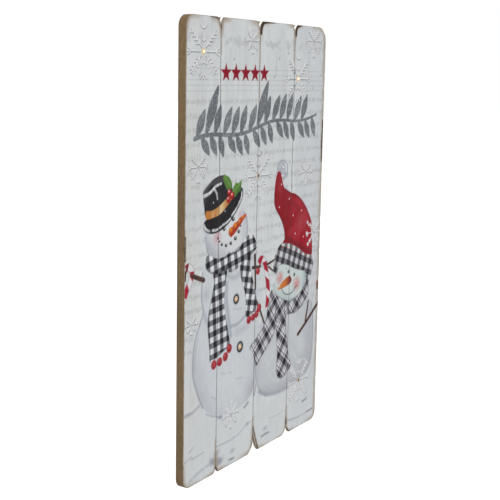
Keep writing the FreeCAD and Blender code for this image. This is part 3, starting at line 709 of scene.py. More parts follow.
def big_hat(art):
    brim = [(39, 338), (45, 332), (55, 328.5), (68, 328), (82, 331), (96, 337), (110, 347),
            (121, 357), (129, 368), (130.5, 377), (127, 382), (119, 381), (108, 374), (88, 360),
            (66, 351), (44, 347)]
    art.fill(brim, INK, soft=1.0)
    crown = [(45, 350), (40, 366), (37.5, 381), (40, 385.5), (50, 392), (61, 398), (76, 401.5),
             (89, 400.5), (98, 394), (105, 381), (108, 374), (96, 363), (80, 354), (62, 349)]
    felt = art.fill(crown, rgb(50, 49, 52), soft=1.0)
    art.shade(felt, (-1, 0.5), rgb(108, 108, 112), 0.7, 16)
    art.fill([(42, 386), (52, 389), (68, 391), (84, 392), (95, 393), (88, 399.5), (74, 400.5),
              (60, 396.5), (50, 391.5)], rgb(92, 92, 96), soft=2, strength=0.6)
    ribbon = [(45.5, 348), (60, 348.5), (75, 351), (88, 357.5), (98, 364.5), (105, 371),
              (103, 377), (94, 372.5), (84, 367), (72, 361.5), (58, 358), (44.5, 358)]
    copper = mixed(rgb(176, 116, 62), (3, 8), 61, 0.08)

    def shiny(x, z):
        light = (np.exp(-((x - 79) / 9) ** 2) + 0.5 * np.exp(-((x - 60) / 4) ** 2))[:, None]
        return copper(x, z) * (1 - 0.8 * light) + rgb(216, 198, 158) * 0.8 * light

    art.fill(ribbon, shiny, soft=0.9)
    snow = [([(39.5, 378), (50, 380), (58, 384), (66, 388.5), (78, 391)], 4.8),
            ([(62, 386), (68, 379), (70, 372)], 4.0),
            ([(40.5, 340.5), (45, 335), (53, 332)], 4.4),
            ([(60, 332), (70, 332), (80, 335)], 4.0),
            ([(83, 336.5), (92, 339), (101, 343.5)], 3.6),
            ([(104, 347), (112, 353), (120, 360)], 3.6),
            ([(121, 362), (126.5, 369), (127.5, 377)], 3.6)]
    art.strokes(snow, SNOW, soft=0.9, strength=0.97, taper=0.3, dry=0.25)
    art.dots((((61, 368), 1.2), ((88, 354.5), 1.2)), SNOW, strength=0.85)


def holly(art):
    lower = [(82, 397.5), (84.5, 403), (90, 400.5), (96, 398.5), (102, 392), (104.5, 383),
             (98, 381), (92, 382), (88, 387), (85.5, 390.5)]
    upper = [(103, 379), (107, 384), (112, 390), (119, 388.5), (127.5, 392.5), (125.5, 384),
             (125, 378), (118, 376), (112, 370.5), (107, 373)]
    for leaf, vein in ((lower, [(86, 399), (95, 391), (101, 384)]),
                       (upper, [(105, 377), (115, 383), (125, 390)])):
        mask = art.fill(leaf, rgb(88, 124, 64), soft=0.8, sharp=True)
        art.shade(mask, (1, -1), rgb(62, 96, 50), 0.8, 9)
        art.shade(mask, (-0.5, 1), rgb(122, 150, 88), 0.6, 6)
        art.stroke(vein, 0.9, rgb(140, 164, 108), strength=0.8)
    for across, up, radius in ((95.5, 369, 4.6), (97.5, 378, 4.8), (104.5, 373.5, 5.0)):
        art.dot((across, up), radius, rgb(146, 34, 40), soft=0.8)
        art.dot((across - 0.6, up + 1.2), radius * 0.5, rgb(190, 84, 90), soft=1.6)
        art.dot((across - 1.4, up + 1.8), radius * 0.28, rgb(228, 190, 194), soft=0.8)


def big_scarf(art):
    cloth = {"light": rgb(212, 215, 218), "middle": rgb(112, 113, 117), "dark": rgb(44, 43, 46)}
    right_tail = [(126, 290), (127, 268), (132, 252), (139, 238), (142, 225), (143, 203),
                  (157, 205), (170, 209), (170, 220), (166, 232), (162, 244), (157, 258),
                  (152, 270), (150, 292)]
    left_tail = [(64, 276), (65, 264), (62, 252), (57, 238), (53, 224), (51, 208), (53, 192),
                 (56, 174), (58, 158), (72, 161), (88, 166), (103, 172), (101, 186), (97, 200),
                 (92, 216), (89, 232), (90, 248), (92, 262), (93, 276)]
    for outline, turn, corner in ((right_tail, -12, (143, 203)), (left_tail, 4, (66, 160))):
        mask = art.fill(outline, check(turn, 7.7, corner, **cloth), soft=0.8)
        art.shade(mask, (-1, 0), rgb(70, 70, 74), 0.25, 10)
        art.stroke(outline + outline[:1], 0.9, rgb(120, 121, 126), strength=0.5)
    around = [(45, 296), (50, 301), (60, 298), (72, 294), (86, 294), (98, 297), (112, 297),
              (124, 302), (136, 311), (148, 316.5), (158, 314), (166, 304), (169, 297), (158, 290),
              (146, 285), (134, 281), (122, 275), (110, 271), (98, 272), (88, 276), (74, 273),
              (62, 275), (52, 279), (45, 286)]
    mask = art.fill(around, check(10, 8.0, (47, 283), **cloth), soft=0.8)
    art.shade(mask, (0, -1), rgb(60, 60, 64), 0.25, 12)
    art.folds([([(99, 298), (97, 288), (93, 274)], 2.0, (36, 35, 38), 1.4, 0.8),
               ([(99, 296), (110, 298), (124, 303)], 1.2, (60, 60, 64), 1.2, 0.5)])
    for place, radius in (((66.5, 152.5), 6.3), ((80, 153.5), 6.0), ((93.5, 157.5), 6.2),
                          ((102.5, 167), 6.3), ((150.5, 197), 5.7), ((161, 198.5), 5.2),
                          ((170, 201.5), 5.4)):
        pompom(art, place, radius)


def pompom(art, place, radius):
    """A round red tuft, lighter up and left."""
    art.dot(place, radius, mixed(rgb(150, 52, 58), 1.8, 71, 0.22), soft=1.2)
    art.glow((place[0] - radius * 0.25, place[1] + radius * 0.3), radius * 0.75,
             rgb(196, 104, 106), 0.7)


def button(art, place, radius):
    """A dark button with a paler dished middle, round a lamp."""
    art.dot(place, radius + 1.6, rgb(150, 154, 162), soft=1.6, strength=0.6)
    art.dot(place, radius, rgb(42, 41, 44), soft=0.8)
    art.stroke(ring_points(place, radius * 0.84)[2:8], 0.8, rgb(120, 122, 126), strength=0.6)
    art.dot(place, radius * 0.6, rgb(206, 198, 184), soft=0.9)
    art.dot((place[0] + 1.0, place[1] - 0.6), radius * 0.42, rgb(130, 96, 62), soft=0.9)


def cane(art, line, width, stripes):
    """A candy cane: a white rod with slanted red stripes, each given as (start, end) along it."""
    slant = 0.035
    art.stroke(line, width + 1.8, rgb(140, 126, 132), soft=1.2, strength=0.75)
    art.stroke(line, width, rgb(208, 207, 209), soft=0.8)
    curve = smooth(line, steps=12)
    along = np.gradient(curve, axis=0)
    side = np.stack([-along[:, 1], along[:, 0]], axis=1)
    side *= width / 2 / np.linalg.norm(side, axis=1)[:, None]

    def run(edge, start, end):
        first, last = [int(np.clip(place, 0, 1) * (len(curve) - 1)) for place in (start, end)]
        return [tuple(point) for point in edge[first:last + 1]]

    for start, end in stripes:
        upper = run(curve + side, start + slant, end + slant)
        lower = run(curve - side, start - slant, end - slant)
        if len(upper) > 1 and len(lower) > 1:
            art.fill(upper + lower[::-1], rgb(156, 44, 58), soft=0.9, sharp=True)


def arms_and_canes(art):
    left_cane = [(0, 254), (5, 264), (12, 273), (15.5, 282), (12, 290), (5, 292), (0, 287)]
    cane(art, left_cane, 8.6, [(-0.05, 0.22), (0.40, 0.58), (0.80, 0.93)])
    art.stroke([(15, 280.5), (24, 276.5), (41, 270.5)], 6.6, WOOD, taper=-0.15)
    art.stroke([(15, 282.5), (26, 279), (40, 273)], 1.2, rgb(124, 104, 100), strength=0.5)
    art.stroke([(6, 294), (2, 286), (1, 276)], 3.0, WOOD)
    right_cane = [(171, 264), (174, 273), (181, 278), (190, 271), (195, 256), (199, 238),
                  (200, 222), (198, 206)]
    cane(art, right_cane, 8.8, [(0.12, 0.30), (0.40, 0.55), (0.64, 0.78), (0.88, 1.05)])
    twigs = [([(163, 286), (165, 262), (166, 238)], 5.0),
             ([(158, 269), (170, 268), (178, 268)], 5.0),
             ([(156, 240), (168, 222), (180, 204), (196, 176)], 4.6),
             ([(196, 268), (208, 270), (224, 274)], 3.6),
             ([(200, 264), (210, 258), (222, 252)], 3.0)]
    art.strokes(twigs, WOOD, taper=0.25, soft=0.8)
    for place, radius in (((172, 262), 5.0), ((176.5, 209), 6.0), ((171, 201), 4.4)):
        pompom(art, place, radius)


def small_snowman_body(art):
    body = [(206, 214), (196, 200), (184, 188), (175, 172), (168, 152), (167, 132), (171, 112),
            (178, 95), (188, 82), (206, 74), (232, 71), (260, 71), (290, 75), (314, 82),
            (328, 94), (334, 115), (335, 145), (333, 172), (326, 192), (310, 206), (262, 216)]
    mask = art.fill(body, rgb(184, 187, 191), soft=2.5)
    art.shade(mask, (1, -0.5), rgb(164, 166, 173), 0.7, 70)
    art.shade(mask, (0, -1), rgb(162, 164, 171), 0.7, 30)
    art.shade(mask, (-1, -0.1), rgb(168, 171, 178), 0.6, 18)
    art.glow((212, 132), 30, rgb(196, 200, 201), 0.6, within=mask)
    art.stroke([(264, 176), (282, 160), (300, 128)], 22, rgb(196, 199, 201), soft=18,
               strength=0.6, within=mask)
    for line in ([(205, 110), (216, 96), (236, 88)], [(276, 122), (290, 108), (312, 104)],
                 [(190, 150), (196, 132), (206, 120)]):
        art.stroke(line, 3.0, rgb(204, 207, 208), soft=3, strength=0.5, dry=0.4, within=mask)
    art.folds([(body[3:10], 2.2, (148, 150, 157), 2.2, 0.7),
               (body[13:19], 2.8, (148, 150, 157), 2.2, 0.85),
               ([(339, 100), (340.5, 130), (338, 180)], 3.6, (206, 208, 210), 2.4, 0.7),
               ([(182, 87), (205, 76), (240, 71), (266, 73)], 5, (152, 154, 161), 5, 0.7),
               ([(312, 194), (322, 180), (326, 160)], 3, (160, 162, 170), 2.4, 0.6)])


def small_arm(art):
    art.stroke([(289, 147.5), (318, 165), (350, 186)], 5.6, WOOD, soft=0.8, taper=0.1)
    art.stroke([(288, 150.5), (300, 156.5), (318, 167.5)], 1.4, rgb(150, 128, 112), strength=0.6)
    art.stroke([(311, 164), (315, 178), (318.5, 194)], 4.6, WOOD, soft=0.8, taper=0.3)
    art.stroke([(309.5, 168), (313, 182)], 1.0, rgb(150, 116, 96), strength=0.6)
    art.stroke([(345.5, 219), (345, 209)], 4.4, rgb(92, 60, 58), soft=1.2)
    art.dot((345.5, 219), 2.4, rgb(150, 62, 66), strength=0.8)


def small_snowman_head(art):
    head = [(222, 262), (219, 248), (217, 236), (219, 224), (227, 214), (240, 208), (256, 205.5),
            (275, 206), (292, 210), (304, 218), (310, 230), (307, 244), (290, 262), (250, 270)]
    mask = art.fill(head, rgb(190, 200, 199), soft=1.4)
    art.shade(mask, (-0.4, -1), rgb(166, 176, 177), 0.7, 20)
    art.shade(mask, (1, -0.2), rgb(142, 152, 154), 0.8, 18)
    art.glow((250, 236), 26, rgb(206, 211, 211), 0.6, within=mask)
    art.stroke(head[2:10], 1.6, rgb(140, 148, 152), soft=1.6, strength=0.7)
    cheeks = (((232, 243), 7.5), ((281, 227), 8.5))
    art.dots(cheeks, rgb(190, 134, 134), soft=9, strength=0.8, within=mask)
    art.dots((((229, 246), 1.4), ((279, 231), 1.4)), rgb(226, 214, 214), strength=0.7)
    for across, up in ((256, 248.5), (273.5, 241.5)):
        art.dot((across, up), 2.5, INK, soft=0.9)
        art.dot((across - 0.7, up + 0.8), 0.8, SNOW, soft=0.7)
    art.stroke([(248.5, 253.5), (251.5, 254.5)], 1.0, INK, strength=0.5)
    art.stroke([(237, 227), (243, 219.5), (251, 215.5), (262, 214.5), (271, 217), (279, 223)],
               1.3, INK, soft=0.8, strength=0.85)
    art.stroke([(276, 222), (281, 224), (284, 222)], 1.0, INK, strength=0.6)
    carrot = [(226, 227), (233, 226), (245, 227), (258, 229), (265, 232.5), (265, 237.5),
              (260, 241.5), (252, 240.5), (241, 236.5), (232, 231)]
    nose = art.fill(carrot, rgb(196, 116, 58), soft=0.8)
    art.shade(nose, (1, 0.2), rgb(104, 44, 50), 0.95, 22)
    art.shade(nose, (-1, 0), rgb(214, 166, 92), 0.9, 16)
    art.shade(nose, (0, -1), rgb(164, 84, 50), 0.5, 4)
    for across, up in ((236, 230), (242, 231.5), (248, 233.5), (254, 235.5), (259, 236)):
        art.stroke([(across, up - 3), (across + 0.8, up + 3)], 0.9, rgb(140, 72, 50),
                   strength=0.6)


def red_cap(art):
    cap = [(223, 397), (217.5, 393), (213.5, 381), (212, 366), (214, 349), (219, 341), (226, 334),
           (234, 325), (240, 315), (243, 307), (243, 299), (238, 291), (262, 285), (290, 272),
           (322, 262), (325, 282), (321, 300), (322.5, 310), (318, 320), (309, 331), (299, 342),
           (288, 351), (279, 357), (268, 362), (258, 363.5), (249, 367), (240, 371), (234.5, 379),
           (231.5, 387), (228, 394)]
    felt = mixed(rgb(150, 38, 48), (30, 9), 81, 0.14)
    mask = art.fill(cap, lambda x, z: felt(x * 0.8 + z * 0.6, z * 0.8 - x * 0.6), soft=1.0)
    art.shade(mask, (-1, 0.1), rgb(122, 32, 42), 0.5, band=(-232, -213))
    art.shade(mask, (0.8, 1), rgb(158, 66, 70), 0.35, 40)
    art.glow((288, 318), 26, rgb(168, 84, 86), 0.6, within=mask)
    art.glow((226, 372), 12, rgb(164, 68, 74), 0.6, within=mask)
    art.folds([([(244, 300), (262, 293), (290, 281), (322, 268)], 8, (104, 34, 40), 6, 0.6),
               ([(240, 350), (262, 348), (284, 338)], 5, (122, 38, 44), 5, 0.5)], within=mask)
    art.folds([([(212.5, 366), (214, 350), (228, 334), (240, 316), (244, 300)], 2.4,
                (92, 28, 36), 2.2, 0.7),
               ([(240, 371), (258, 363), (286, 352.5), (308, 332.5), (320, 314)], 2.2,
                (96, 30, 38), 2, 0.7),
               ([(321.5, 290), (323.5, 276), (321.5, 264)], 2.2, (96, 30, 38), 2, 0.6)])
    lumps = (((309.5, 315), 2.6), ((313.5, 311), 2.0), ((307.5, 299), 2.6), ((309, 295.5), 2.2),
             ((312, 282), 3.0), ((316, 287), 2.0))
    art.dots(lumps, SNOW, soft=1.0, strength=0.9)
    for place in ((230.5, 378), (253.5, 355.5), (226, 346), (266, 330), (290, 335), (273, 302.5),
                  (298, 295)):
        art.dot(place, 1.3, rgb(222, 208, 212), strength=0.9)


def swirl(art):
    """The cap's white bobble, drawn as loose loops."""
    across, up = 232, 398
    art.dot((across, up), 14, rgb(205, 208, 211), soft=2)
    for radius, start, span in ((14, -80, 320), (11.2, 60, 280), (8, -60, 270), (5, 100, 290),
                                (2.2, 0, 300)):
        turns = [math.radians(start + span * index / 8) for index in range(9)]
        loop = [(across + radius * 1.05 * math.cos(a), up + radius * math.sin(a)) for a in turns]
        art.stroke(loop, 1.7, rgb(122, 125, 136), soft=1.1, strength=0.9, dry=0.25)


def cap_cuff(art):
    cloth = check(-20, 8.0, (224, 285), rgb(192, 194, 197), rgb(112, 111, 116), rgb(54, 53, 57))
    left_flap = [(213, 262), (216, 254), (222, 250), (228, 262), (226, 272), (216, 270)]
    right_flap = [(306, 243), (309, 232), (310, 222), (305, 216), (316, 222), (324, 234),
                  (329, 248), (320, 254)]
    cuff = [(224, 286), (233, 292), (246, 291.5), (258, 289.5), (271, 285), (285, 279),
            (296, 272.5), (307, 267.5), (322, 264), (328, 256), (330, 246), (322, 240),
            (310, 241), (298, 244), (286, 247), (272, 251), (258, 257), (245, 261), (232, 262),
            (221, 260), (215, 264), (217, 276)]
    for outline in (left_flap, right_flap, cuff):
        mask = art.fill(outline, cloth, soft=0.8)
        art.stroke(outline + outline[:1], 0.9, rgb(110, 110, 115), strength=0.5)
    art.shade(mask, (0.35, -1), rgb(60, 60, 64), 0.25, 10)
    for place in ((236, 287), (250, 286), (263, 282), (277, 277), (290, 271), (303, 265),
                  (315, 260)):
        art.dot(place, 2.6, rgb(138, 62, 66), soft=1.6, strength=0.6, squash=0.6)


def small_scarf(art):
    cloth = {"light": rgb(212, 213, 217), "dark": rgb(46, 44, 50)}
    slanted = tartan(38, (205, 222), **cloth)
    right_neck = [(246, 208), (262, 203.5), (280, 207), (298, 214), (312, 226), (318, 214),
                  (316, 204), (303, 192), (292, 187), (279, 183.5), (265, 184), (250, 187.5)]
    centre_tail = [(226, 190), (225, 170), (227, 150), (229, 130), (228, 112), (231, 97),
                   (242, 91), (256, 95), (269, 104.5), (263, 120), (258, 138), (254, 156),
                   (252, 175), (249, 192)]
    left_tail = [(204, 212), (196, 188), (180, 172), (155, 157.5), (161, 151), (166, 140),
                 (172, 126.5), (186, 137), (201, 147), (214, 158), (228, 178), (238, 192)]
    neck = [(204, 214), (206, 223), (211, 229), (219, 222), (234, 213), (248, 207.5),
            (258, 200), (254, 186), (240, 180), (226, 186), (213, 196)]
    for outline, colour in ((right_neck, tartan(44, (252, 190), **cloth)),
                            (centre_tail, tartan(50, (231, 154), **cloth)),
                            (left_tail, slanted), (neck, slanted)):
        mask = art.fill(outline, colour, soft=0.8)
        art.shade(mask, (0.3, -1), rgb(70, 70, 75), 0.2, 10)
        art.stroke(outline + outline[:1], 1.0, rgb(96, 96, 102), soft=1.0, strength=0.55)
    for fold in ([(226, 208), (222, 196), (224, 182)], [(250, 206), (247, 196), (250, 186)]):
        art.stroke(fold, 1.4, rgb(40, 39, 43), soft=1.3, strength=0.7)
    for index in range(9):
        start = (157 + index * 1.8, 157 - index * 3.5)
        art.stroke([start, (start[0] - 3.5, start[1] - 1.5)], 0.9, rgb(150, 152, 157),
                   strength=0.7)


def ground(art):
    """Drifted snow: pale banks with soft lilac strokes and blots under them."""
    x, z = art.across, art.up
    bank = 78 + 10 * np.sin(x / 38) + 8 * noise(x, z * 0, 40, 91)
    art.everywhere(0.5 * step(bank - z, 0, 26), rgb(196, 199, 201))
    for line, width, strength in (
            ([(3, 99.5), (18, 100), (34, 105.5)], 4.6, 0.95),
            ([(50, 89), (64, 83), (80, 77)], 2.4, 0.8),
            ([(13, 48.5), (24, 54.5)], 2.6, 0.7),
            ([(3, 37), (18, 41)], 2.6, 0.8),
            ([(18, 37), (46, 38.5)], 2.6, 0.7),
            ([(75, 37), (105, 36), (130, 39), (150, 47), (166, 48)], 3.2, 0.6),
            ([(12, 8), (35, 14), (60, 17), (86, 13)], 5.0, 0.5),
            ([(108, 8), (118, 7)], 3.4, 0.6),
            ([(212, 38), (235, 37), (256, 39)], 2.4, 0.4),
            ([(308, 38), (320, 38)], 3.0, 0.8),
            ([(190, 17), (202, 18), (214, 16)], 3.0, 0.6),
            ([(264, 19), (300, 16), (342, 18)], 3.6, 0.6),
            ([(150, 78), (144, 72)], 5.0, 0.5),
            ([(186, 84), (195, 80)], 6.0, 0.8),
            ([(80, 77), (87, 75.5)], 5.0, 0.9)):
        art.stroke(line, width, rgb(146, 148, 156), soft=width * 0.8, strength=strength, dry=0.4,
                   taper=0.4)
        art.stroke([(a, b + width) for a, b in line], width, rgb(206, 209, 212), soft=width,
                   strength=0.35)
    for place, radius in (((70, 18), 15), ((84, 14), 13), ((62, 22), 9), ((76, 28), 12),
                          ((114, 19), 9), ((200, 26), 9), ((152, 47), 7)):
        art.glow(place, radius, rgb(146, 147, 158), 0.75, squash=0.6)
    for place, radius, squash in (((68, 18), 7, 0.5), ((80, 14), 8, 0.7), ((83, 76.5), 4.2, 0.65)):
        art.dot(place, radius, rgb(146, 147, 155), soft=4, strength=0.8, squash=squash)
    darker = [([(141, 74), (147, 74.5), (153, 78)], 2.8),
              ([(183, 86), (190, 83), (199, 77)], 5.0),
              ([(307, 37), (314, 38.5), (322, 40)], 2.4),
              ([(106, 8), (118, 7.5)], 2.6),
              ([(190, 16.5), (210, 17.5)], 2.2),
              ([(322, 17), (340, 18)], 2.4),
              ([(168, 84), (172, 98)], 2.6)]
    art.strokes(darker, rgb(122, 124, 132), soft=2.2, strength=0.75, dry=0.2)


def falling_snow(art):
    """Small flecks of white scattered over the pale parts of the lower two thirds."""
    draw = np.random.default_rng(7)
    pale = (art.colour.mean(axis=1) > 0.6).astype(float)
    for across, up in draw.random((70, 2)) * (BOARD_WIDE, 330) + (0, 70):
        art.dot((across, up), 0.7 + 0.5 * draw.random(), rgb(216, 219, 222), strength=0.6,
                within=pale)


# ---- snowflakes: raised paint ---------------------------------------------------------------

def lamp_place(name):
    low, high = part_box(name)
    return (((low.x + high.x) / 2 - LEFT_X) / MM, ((low.z + high.z) / 2 - FOOT_Z) / MM)


def flake_strokes(place, radius, lamp=True):
    """Eight arms: straight ones end in a trident or, above and below a lamp, in a cup; slanted
    ones carry side twigs."""
    trident = [[(0.78, 0), (0.88, 0.0), (1.0, 0.02)], [(0.78, 0.0), (0.86, 0.07), (0.98, 0.13)],
               [(0.78, 0.0), (0.86, -0.07), (0.98, -0.13)]]
    cup = [[(0.97, 0.21), (0.86, 0.12), (0.83, 0.0), (0.86, -0.12), (0.97, -0.21)],
           [(0.83, 0), (0.98, 0)], [(0.44, 0.12), (0.38, 0.0), (0.44, -0.12)]]
    start, reach, twigs = (0.2, 1.1, 4) if lamp else (0.06, 0.98, 3)
    slanted = [[(start, 0), (reach, 0)]]
    for along in (0.38, 0.56, 0.74, 0.92)[:twigs]:
        slanted += [[(along, 0), (along + 0.12, side)] for side in (0.14, -0.14)]
    straight = [[(start, 0), (0.8, 0)]] + trident
    arms = [straight, slanted, cup if lamp else straight, slanted] * 2
    return [turned(line, place, 45 * index, radius) for index, arm in enumerate(arms)
            for line in arm]


def flakes():
    """Every snowflake's name, strokes and ridge width in millimetres."""
    around = {"flake_top_left": ("led_top_left", 34), "flake_upper_right": ("led_upper_right", 33),
              "flake_centre": ("led_centre", 33), "flake_bottom_right": ("led_bottom_right", 33)}
    made = {name: (flake_strokes(lamp_place(lamp), radius), 1.35)
            for name, (lamp, radius) in around.items()}
    plain = {"flake_left": ((26.7, 415.6), 20), "flake_top_middle": ((148, 574), 17),
             "flake_top_right": ((313.7, 580), 24), "flake_right": ((300, 391), 19),
             "flake_cap": ((329.5, 298), 22), "flake_left_low": ((14.5, 217), 13),
             "flake_low": ((108.6, 73), 20)}
    for name, (place, radius) in plain.items():
        made[name] = (flake_strokes(place, radius, lamp=False), 1.15)
    return made


def on_flat(line):
    """The leading part of a line that stays on the planks' flat faces."""
    x, z = line.T
    flat = np.zeros(len(line), bool)
    for name in PLANKS:
        ring = plank_ring(name)
        flat |= inside(x, z, ring) & (distance(x, z, ring)[0] > FLAT_MARGIN)
    return line if flat.all() else line[:int(np.argmin(flat))]


def ridge_mesh(name, strokes, width, material):
    """Half-round ridges along the strokes, laid on the front face."""
    section = [(-0.5, 0.0), (-0.32, 0.75), (0.0, 1.0), (0.32, 0.75), (0.5, 0.0)]
    wide = len(section)
    verts, faces = [], []
    for stroke in strokes:
        line = on_flat(smooth(stroke, steps=4 if len(stroke) > 2 else 9))
        if len(line) < 3:
            continue
        along = np.gradient(line, axis=0)
        along /= np.linalg.norm(along, axis=1)[:, None]
        normal = np.stack([-along[:, 1], along[:, 0]], axis=1)
        first, rows = len(verts), len(line)
        for index, (point, side) in enumerate(zip(line, normal)):
            size = (0.35, 0.85, 1.0)[min(index, rows - 1 - index, 2)]
            for offset, rise in section:
                across, up = point + side * offset * width * size
                sunk = 0.0 if rise else RIDGE_SINK
                depth = FRONT_Y / MM + sunk - rise * RIDGE_HEIGHT * size
                verts.append((LEFT_X + across * MM, depth * MM, FOOT_Z + up * MM))
        for a in range(first, first + (rows - 1) * wide, wide):
            faces += [(b, b + 1, b + wide + 1, b + wide) for b in range(a, a + wide - 1)]
            faces.append((a, a + wide, a + 2 * wide - 1, a + wide - 1))
        last = first + (rows - 1) * wide
        faces.append(tuple(reversed(range(first, first + wide))))
        faces.append(tuple(range(last, last + wide)))
    mesh = bpy.data.meshes.new(name)
    mesh.from_pydata(verts, [], faces)
    mesh.materials.append(material)
    mesh.validate()
    piece = bpy.data.objects.new(name, mesh)
    bpy.context.scene.collection.objects.link(piece)
    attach(piece, "sign")


def raised_paint():
    return mottled("raised_paint", grey(0.50), grey(0.63), 300, rough=(0.35, 0.55), bump=0.5,
                   bump_scale=1400, depth=0.0002).material


def flake_painted_shadows_and_highlights(art):
    """A painted shadow under each raised arm, a thin grey line, and a painted highlight above it, a
    pale one.
    """
    for strokes, width in flakes().values():
        for stroke in strokes:
            # low: painted shadow line under the arm; high: painted highlight line above it
            low = [(a + 0.3, b - width * 0.75) for a, b in stroke]
            high = [(a - 0.2, b + width * 0.6) for a, b in stroke]
            art.stroke(high, 1.4, rgb(212, 215, 218), soft=1.0, strength=0.4)
            art.stroke(low, 1.2, rgb(104, 107, 112), soft=0.9, strength=0.8)


def lamp_glow(art):
    """Painted lamp light round each lamp: a warm painted glow and a gold disc; the buttons keep
    their own.
    """
    for name in LAMPS:
        if "button" not in name:
            bright = name in ("led_top_left", "led_upper_right")
            place = lamp_place(name)
            # painted lamp light on the board: a warm glow, then a gold disc under the lens
            art.glow(place, 7.0 if bright else 5.5, rgb(232, 206, 164), 0.6)
            art.dot(place, 3.2, rgb(206, 166, 112) if bright else rgb(198, 176, 148), soft=1.4)


def wear(art):
    """Rubbed plank edges: thin grey-brown lines, tan corners, a beige right edge and scorched
    runs."""
    x, z, edge = art.across, art.up, art.edge
    lumps = noise(x, z, 9, 101)
    ends = step(np.maximum(40 - z, z - (BOARD_TALL - 25)), 0, 30)
    outer = np.maximum(step(4 - x, 0, 4), step(x - (BOARD_WIDE - 4), 0, 4))
    beige = step(x - (BOARD_WIDE - 14 + 6 * lumps), 0, 7)
    art.everywhere(0.85 * beige, rgb(164, 158, 148))
    tan = rgb(158, 145, 130)
    for start, end, width in (((72.5, 8), (72.5, 46), 4), ((166, 14), (167, 52), 4),
                              ((259.9, 16), (259.9, 42), 4.5), ((257, 552), (258, 592), 4),
                              ((166.5, 500), (166.5, 585), 2.5), ((74, 555), (74, 590), 3)):
        art.stroke([start, end], width, tan, soft=width, strength=0.6)
    for across, up, reach, deep in ((2, 598, 26, 5), (72, 598, 20, 7), (76, 598, 18, 7),
                                    (164, 598, 22, 8), (169, 597, 12, 4), (257, 598, 18, 5),
                                    (262, 597, 12, 5), (348, 596, 34, 8), (4, 2, 30, 5),
                                    (70, 2, 24, 5), (78, 3, 22, 6), (160, 5, 26, 8),
                                    (176, 12, 26, 4), (254, 4, 22, 3), (266, 4, 22, 5),
                                    (344, 4, 26, 7)):
        corner = np.clip(1.4 - np.hypot(x - across, z - up) / reach, 0, 1)
        art.everywhere(0.65 * corner * step(deep + 3 * lumps - edge, 0, deep), tan)
    foot = step(8 - z, 0, 5) * step(1.4 - edge, 0, 0.8)
    art.everywhere(0.7 * foot, rgb(98, 82, 70))
    seam = step(0.45 - edge, 0, 0.4) * (1 - np.maximum(ends, outer))
    art.everywhere(0.9 * seam, rgb(100, 99, 101))
    rim = step(0.6 + 0.9 * lumps * (ends + outer) - edge, 0, 0.7)
    rubbed = mixed(rgb(134, 122, 108), 4, 103, 0.16)
    art.everywhere(np.clip(ends + 0.8 * outer, 0, 0.85) * rim, rubbed)
    dark_brown = rgb(66, 52, 44)
    art.fill([(166.8, 584), (167.6, 592), (170, 597), (175, 600), (190, 600), (208, 600),
              (197, 598.4), (184, 597.6), (176, 596), (172, 590), (171, 584), (169, 582)],
             dark_brown, soft=1.2, strength=0.95)
    art.fill([(260, 585), (260.5, 592), (263, 597), (268, 600), (281, 600), (274, 597.8),
              (266.5, 595.5), (264, 590), (263.5, 584)], dark_brown, soft=1.2, strength=0.9)
    runs = [([(52, 599.6), (63, 599), (69, 597), (72.5, 592), (73.7, 586)], 2.6),
            ([(167, 38), (172, 24), (181, 1)], 2.6),
            ([(153, 0.5), (161, 4), (166, 17)], 3.2),
            ([(67, 0.5), (71, 4), (73.6, 10)], 2.0),
            ([(75, 7), (77, 2), (80, 0)], 2.4),
            ([(263, 8), (267, 2.5), (273, 0.5)], 2.2),
            ([(259.7, 16), (259.7, 23)], 3.0),
            ([(347.5, 404), (346, 430), (348, 464)], 4.5),
            ([(0.8, 300), (1.2, 330)], 2.6)]
    art.strokes(runs, dark_brown, soft=1.2, strength=0.8, dry=0.35)


def paint_picture(art):
    undercoat(art)
    old_print(art)
    ground(art)
    sprig(art)
    red_stars(art)
    flake_painted_shadows_and_highlights(art)
    big_snowman_body(art)
    small_snowman_body(art)
    arms_and_canes(art)
    big_snowman_head(art)
    big_hat(art)
    holly(art)
    big_scarf(art)
    button(art, lamp_place("led_upper_button"), 6.8)
    button(art, lamp_place("led_lower_button"), 7.6)
    swirl(art)
    red_cap(art)
    small_snowman_head(art)
    cap_cuff(art)
    small_scarf(art)
    falling_snow(art)
    lamp_glow(art)
    wear(art)
    small_arm(art)


# ---- planks ---------------------------------------------------------------------------------

def hull(points):
    """The convex outline of points, anticlockwise."""
    points = sorted(set(map(tuple, points)))
    sides = []
    for order in (points, points[::-1]):
        chain = []
        for p in order:
            while len(chain) > 1 and ((chain[-1][0] - chain[-2][0]) * (p[1] - chain[-2][1])
                                      <= (chain[-1][1] - chain[-2][1]) * (p[0] - chain[-2][0])):
                chain.pop()
            chain.append(p)
        sides += chain[:-1]
    return np.array(sides)


def graded(length):
    """Places from 0 to length, closer together near both ends."""
    start = np.array(GRADING)
    count = int((length - 2 * start[-1]) / GRID_STEP) + 1
    middle = np.linspace(start[-1], length - start[-1], count)
    return np.concatenate([start[:-1], middle, (length - start[:-1])[::-1]])


def limits(outline, heights):
    """The outline's left and right limits at each height."""
    left, right = np.full(len(heights), np.inf), np.full(len(heights), -np.inf)
    for (x0, z0), (x1, z1) in zip(outline, np.roll(outline, -1, axis=0)):
        if abs(z1 - z0) < 1e-6:
            continue
        share = (heights - z0) / (z1 - z0)
        on = (share > -1e-6) & (share < 1 + 1e-6)
        x = x0 + share * (x1 - x0)
        left[on], right[on] = np.minimum(left[on], x[on]), np.maximum(right[on], x[on])
    return left, right


@functools.cache
def plank_ring(name):
    """A plank's outline seen from the front, in millimetres."""
    co = np.array([v.co for v in frame["nodes"][name].data.vertices]) / MM
    outline = hull(np.round(co[:, [0, 2]] - (LEFT_X / MM, FOOT_Z / MM), 3))
    return np.vstack([outline, outline[:1]])


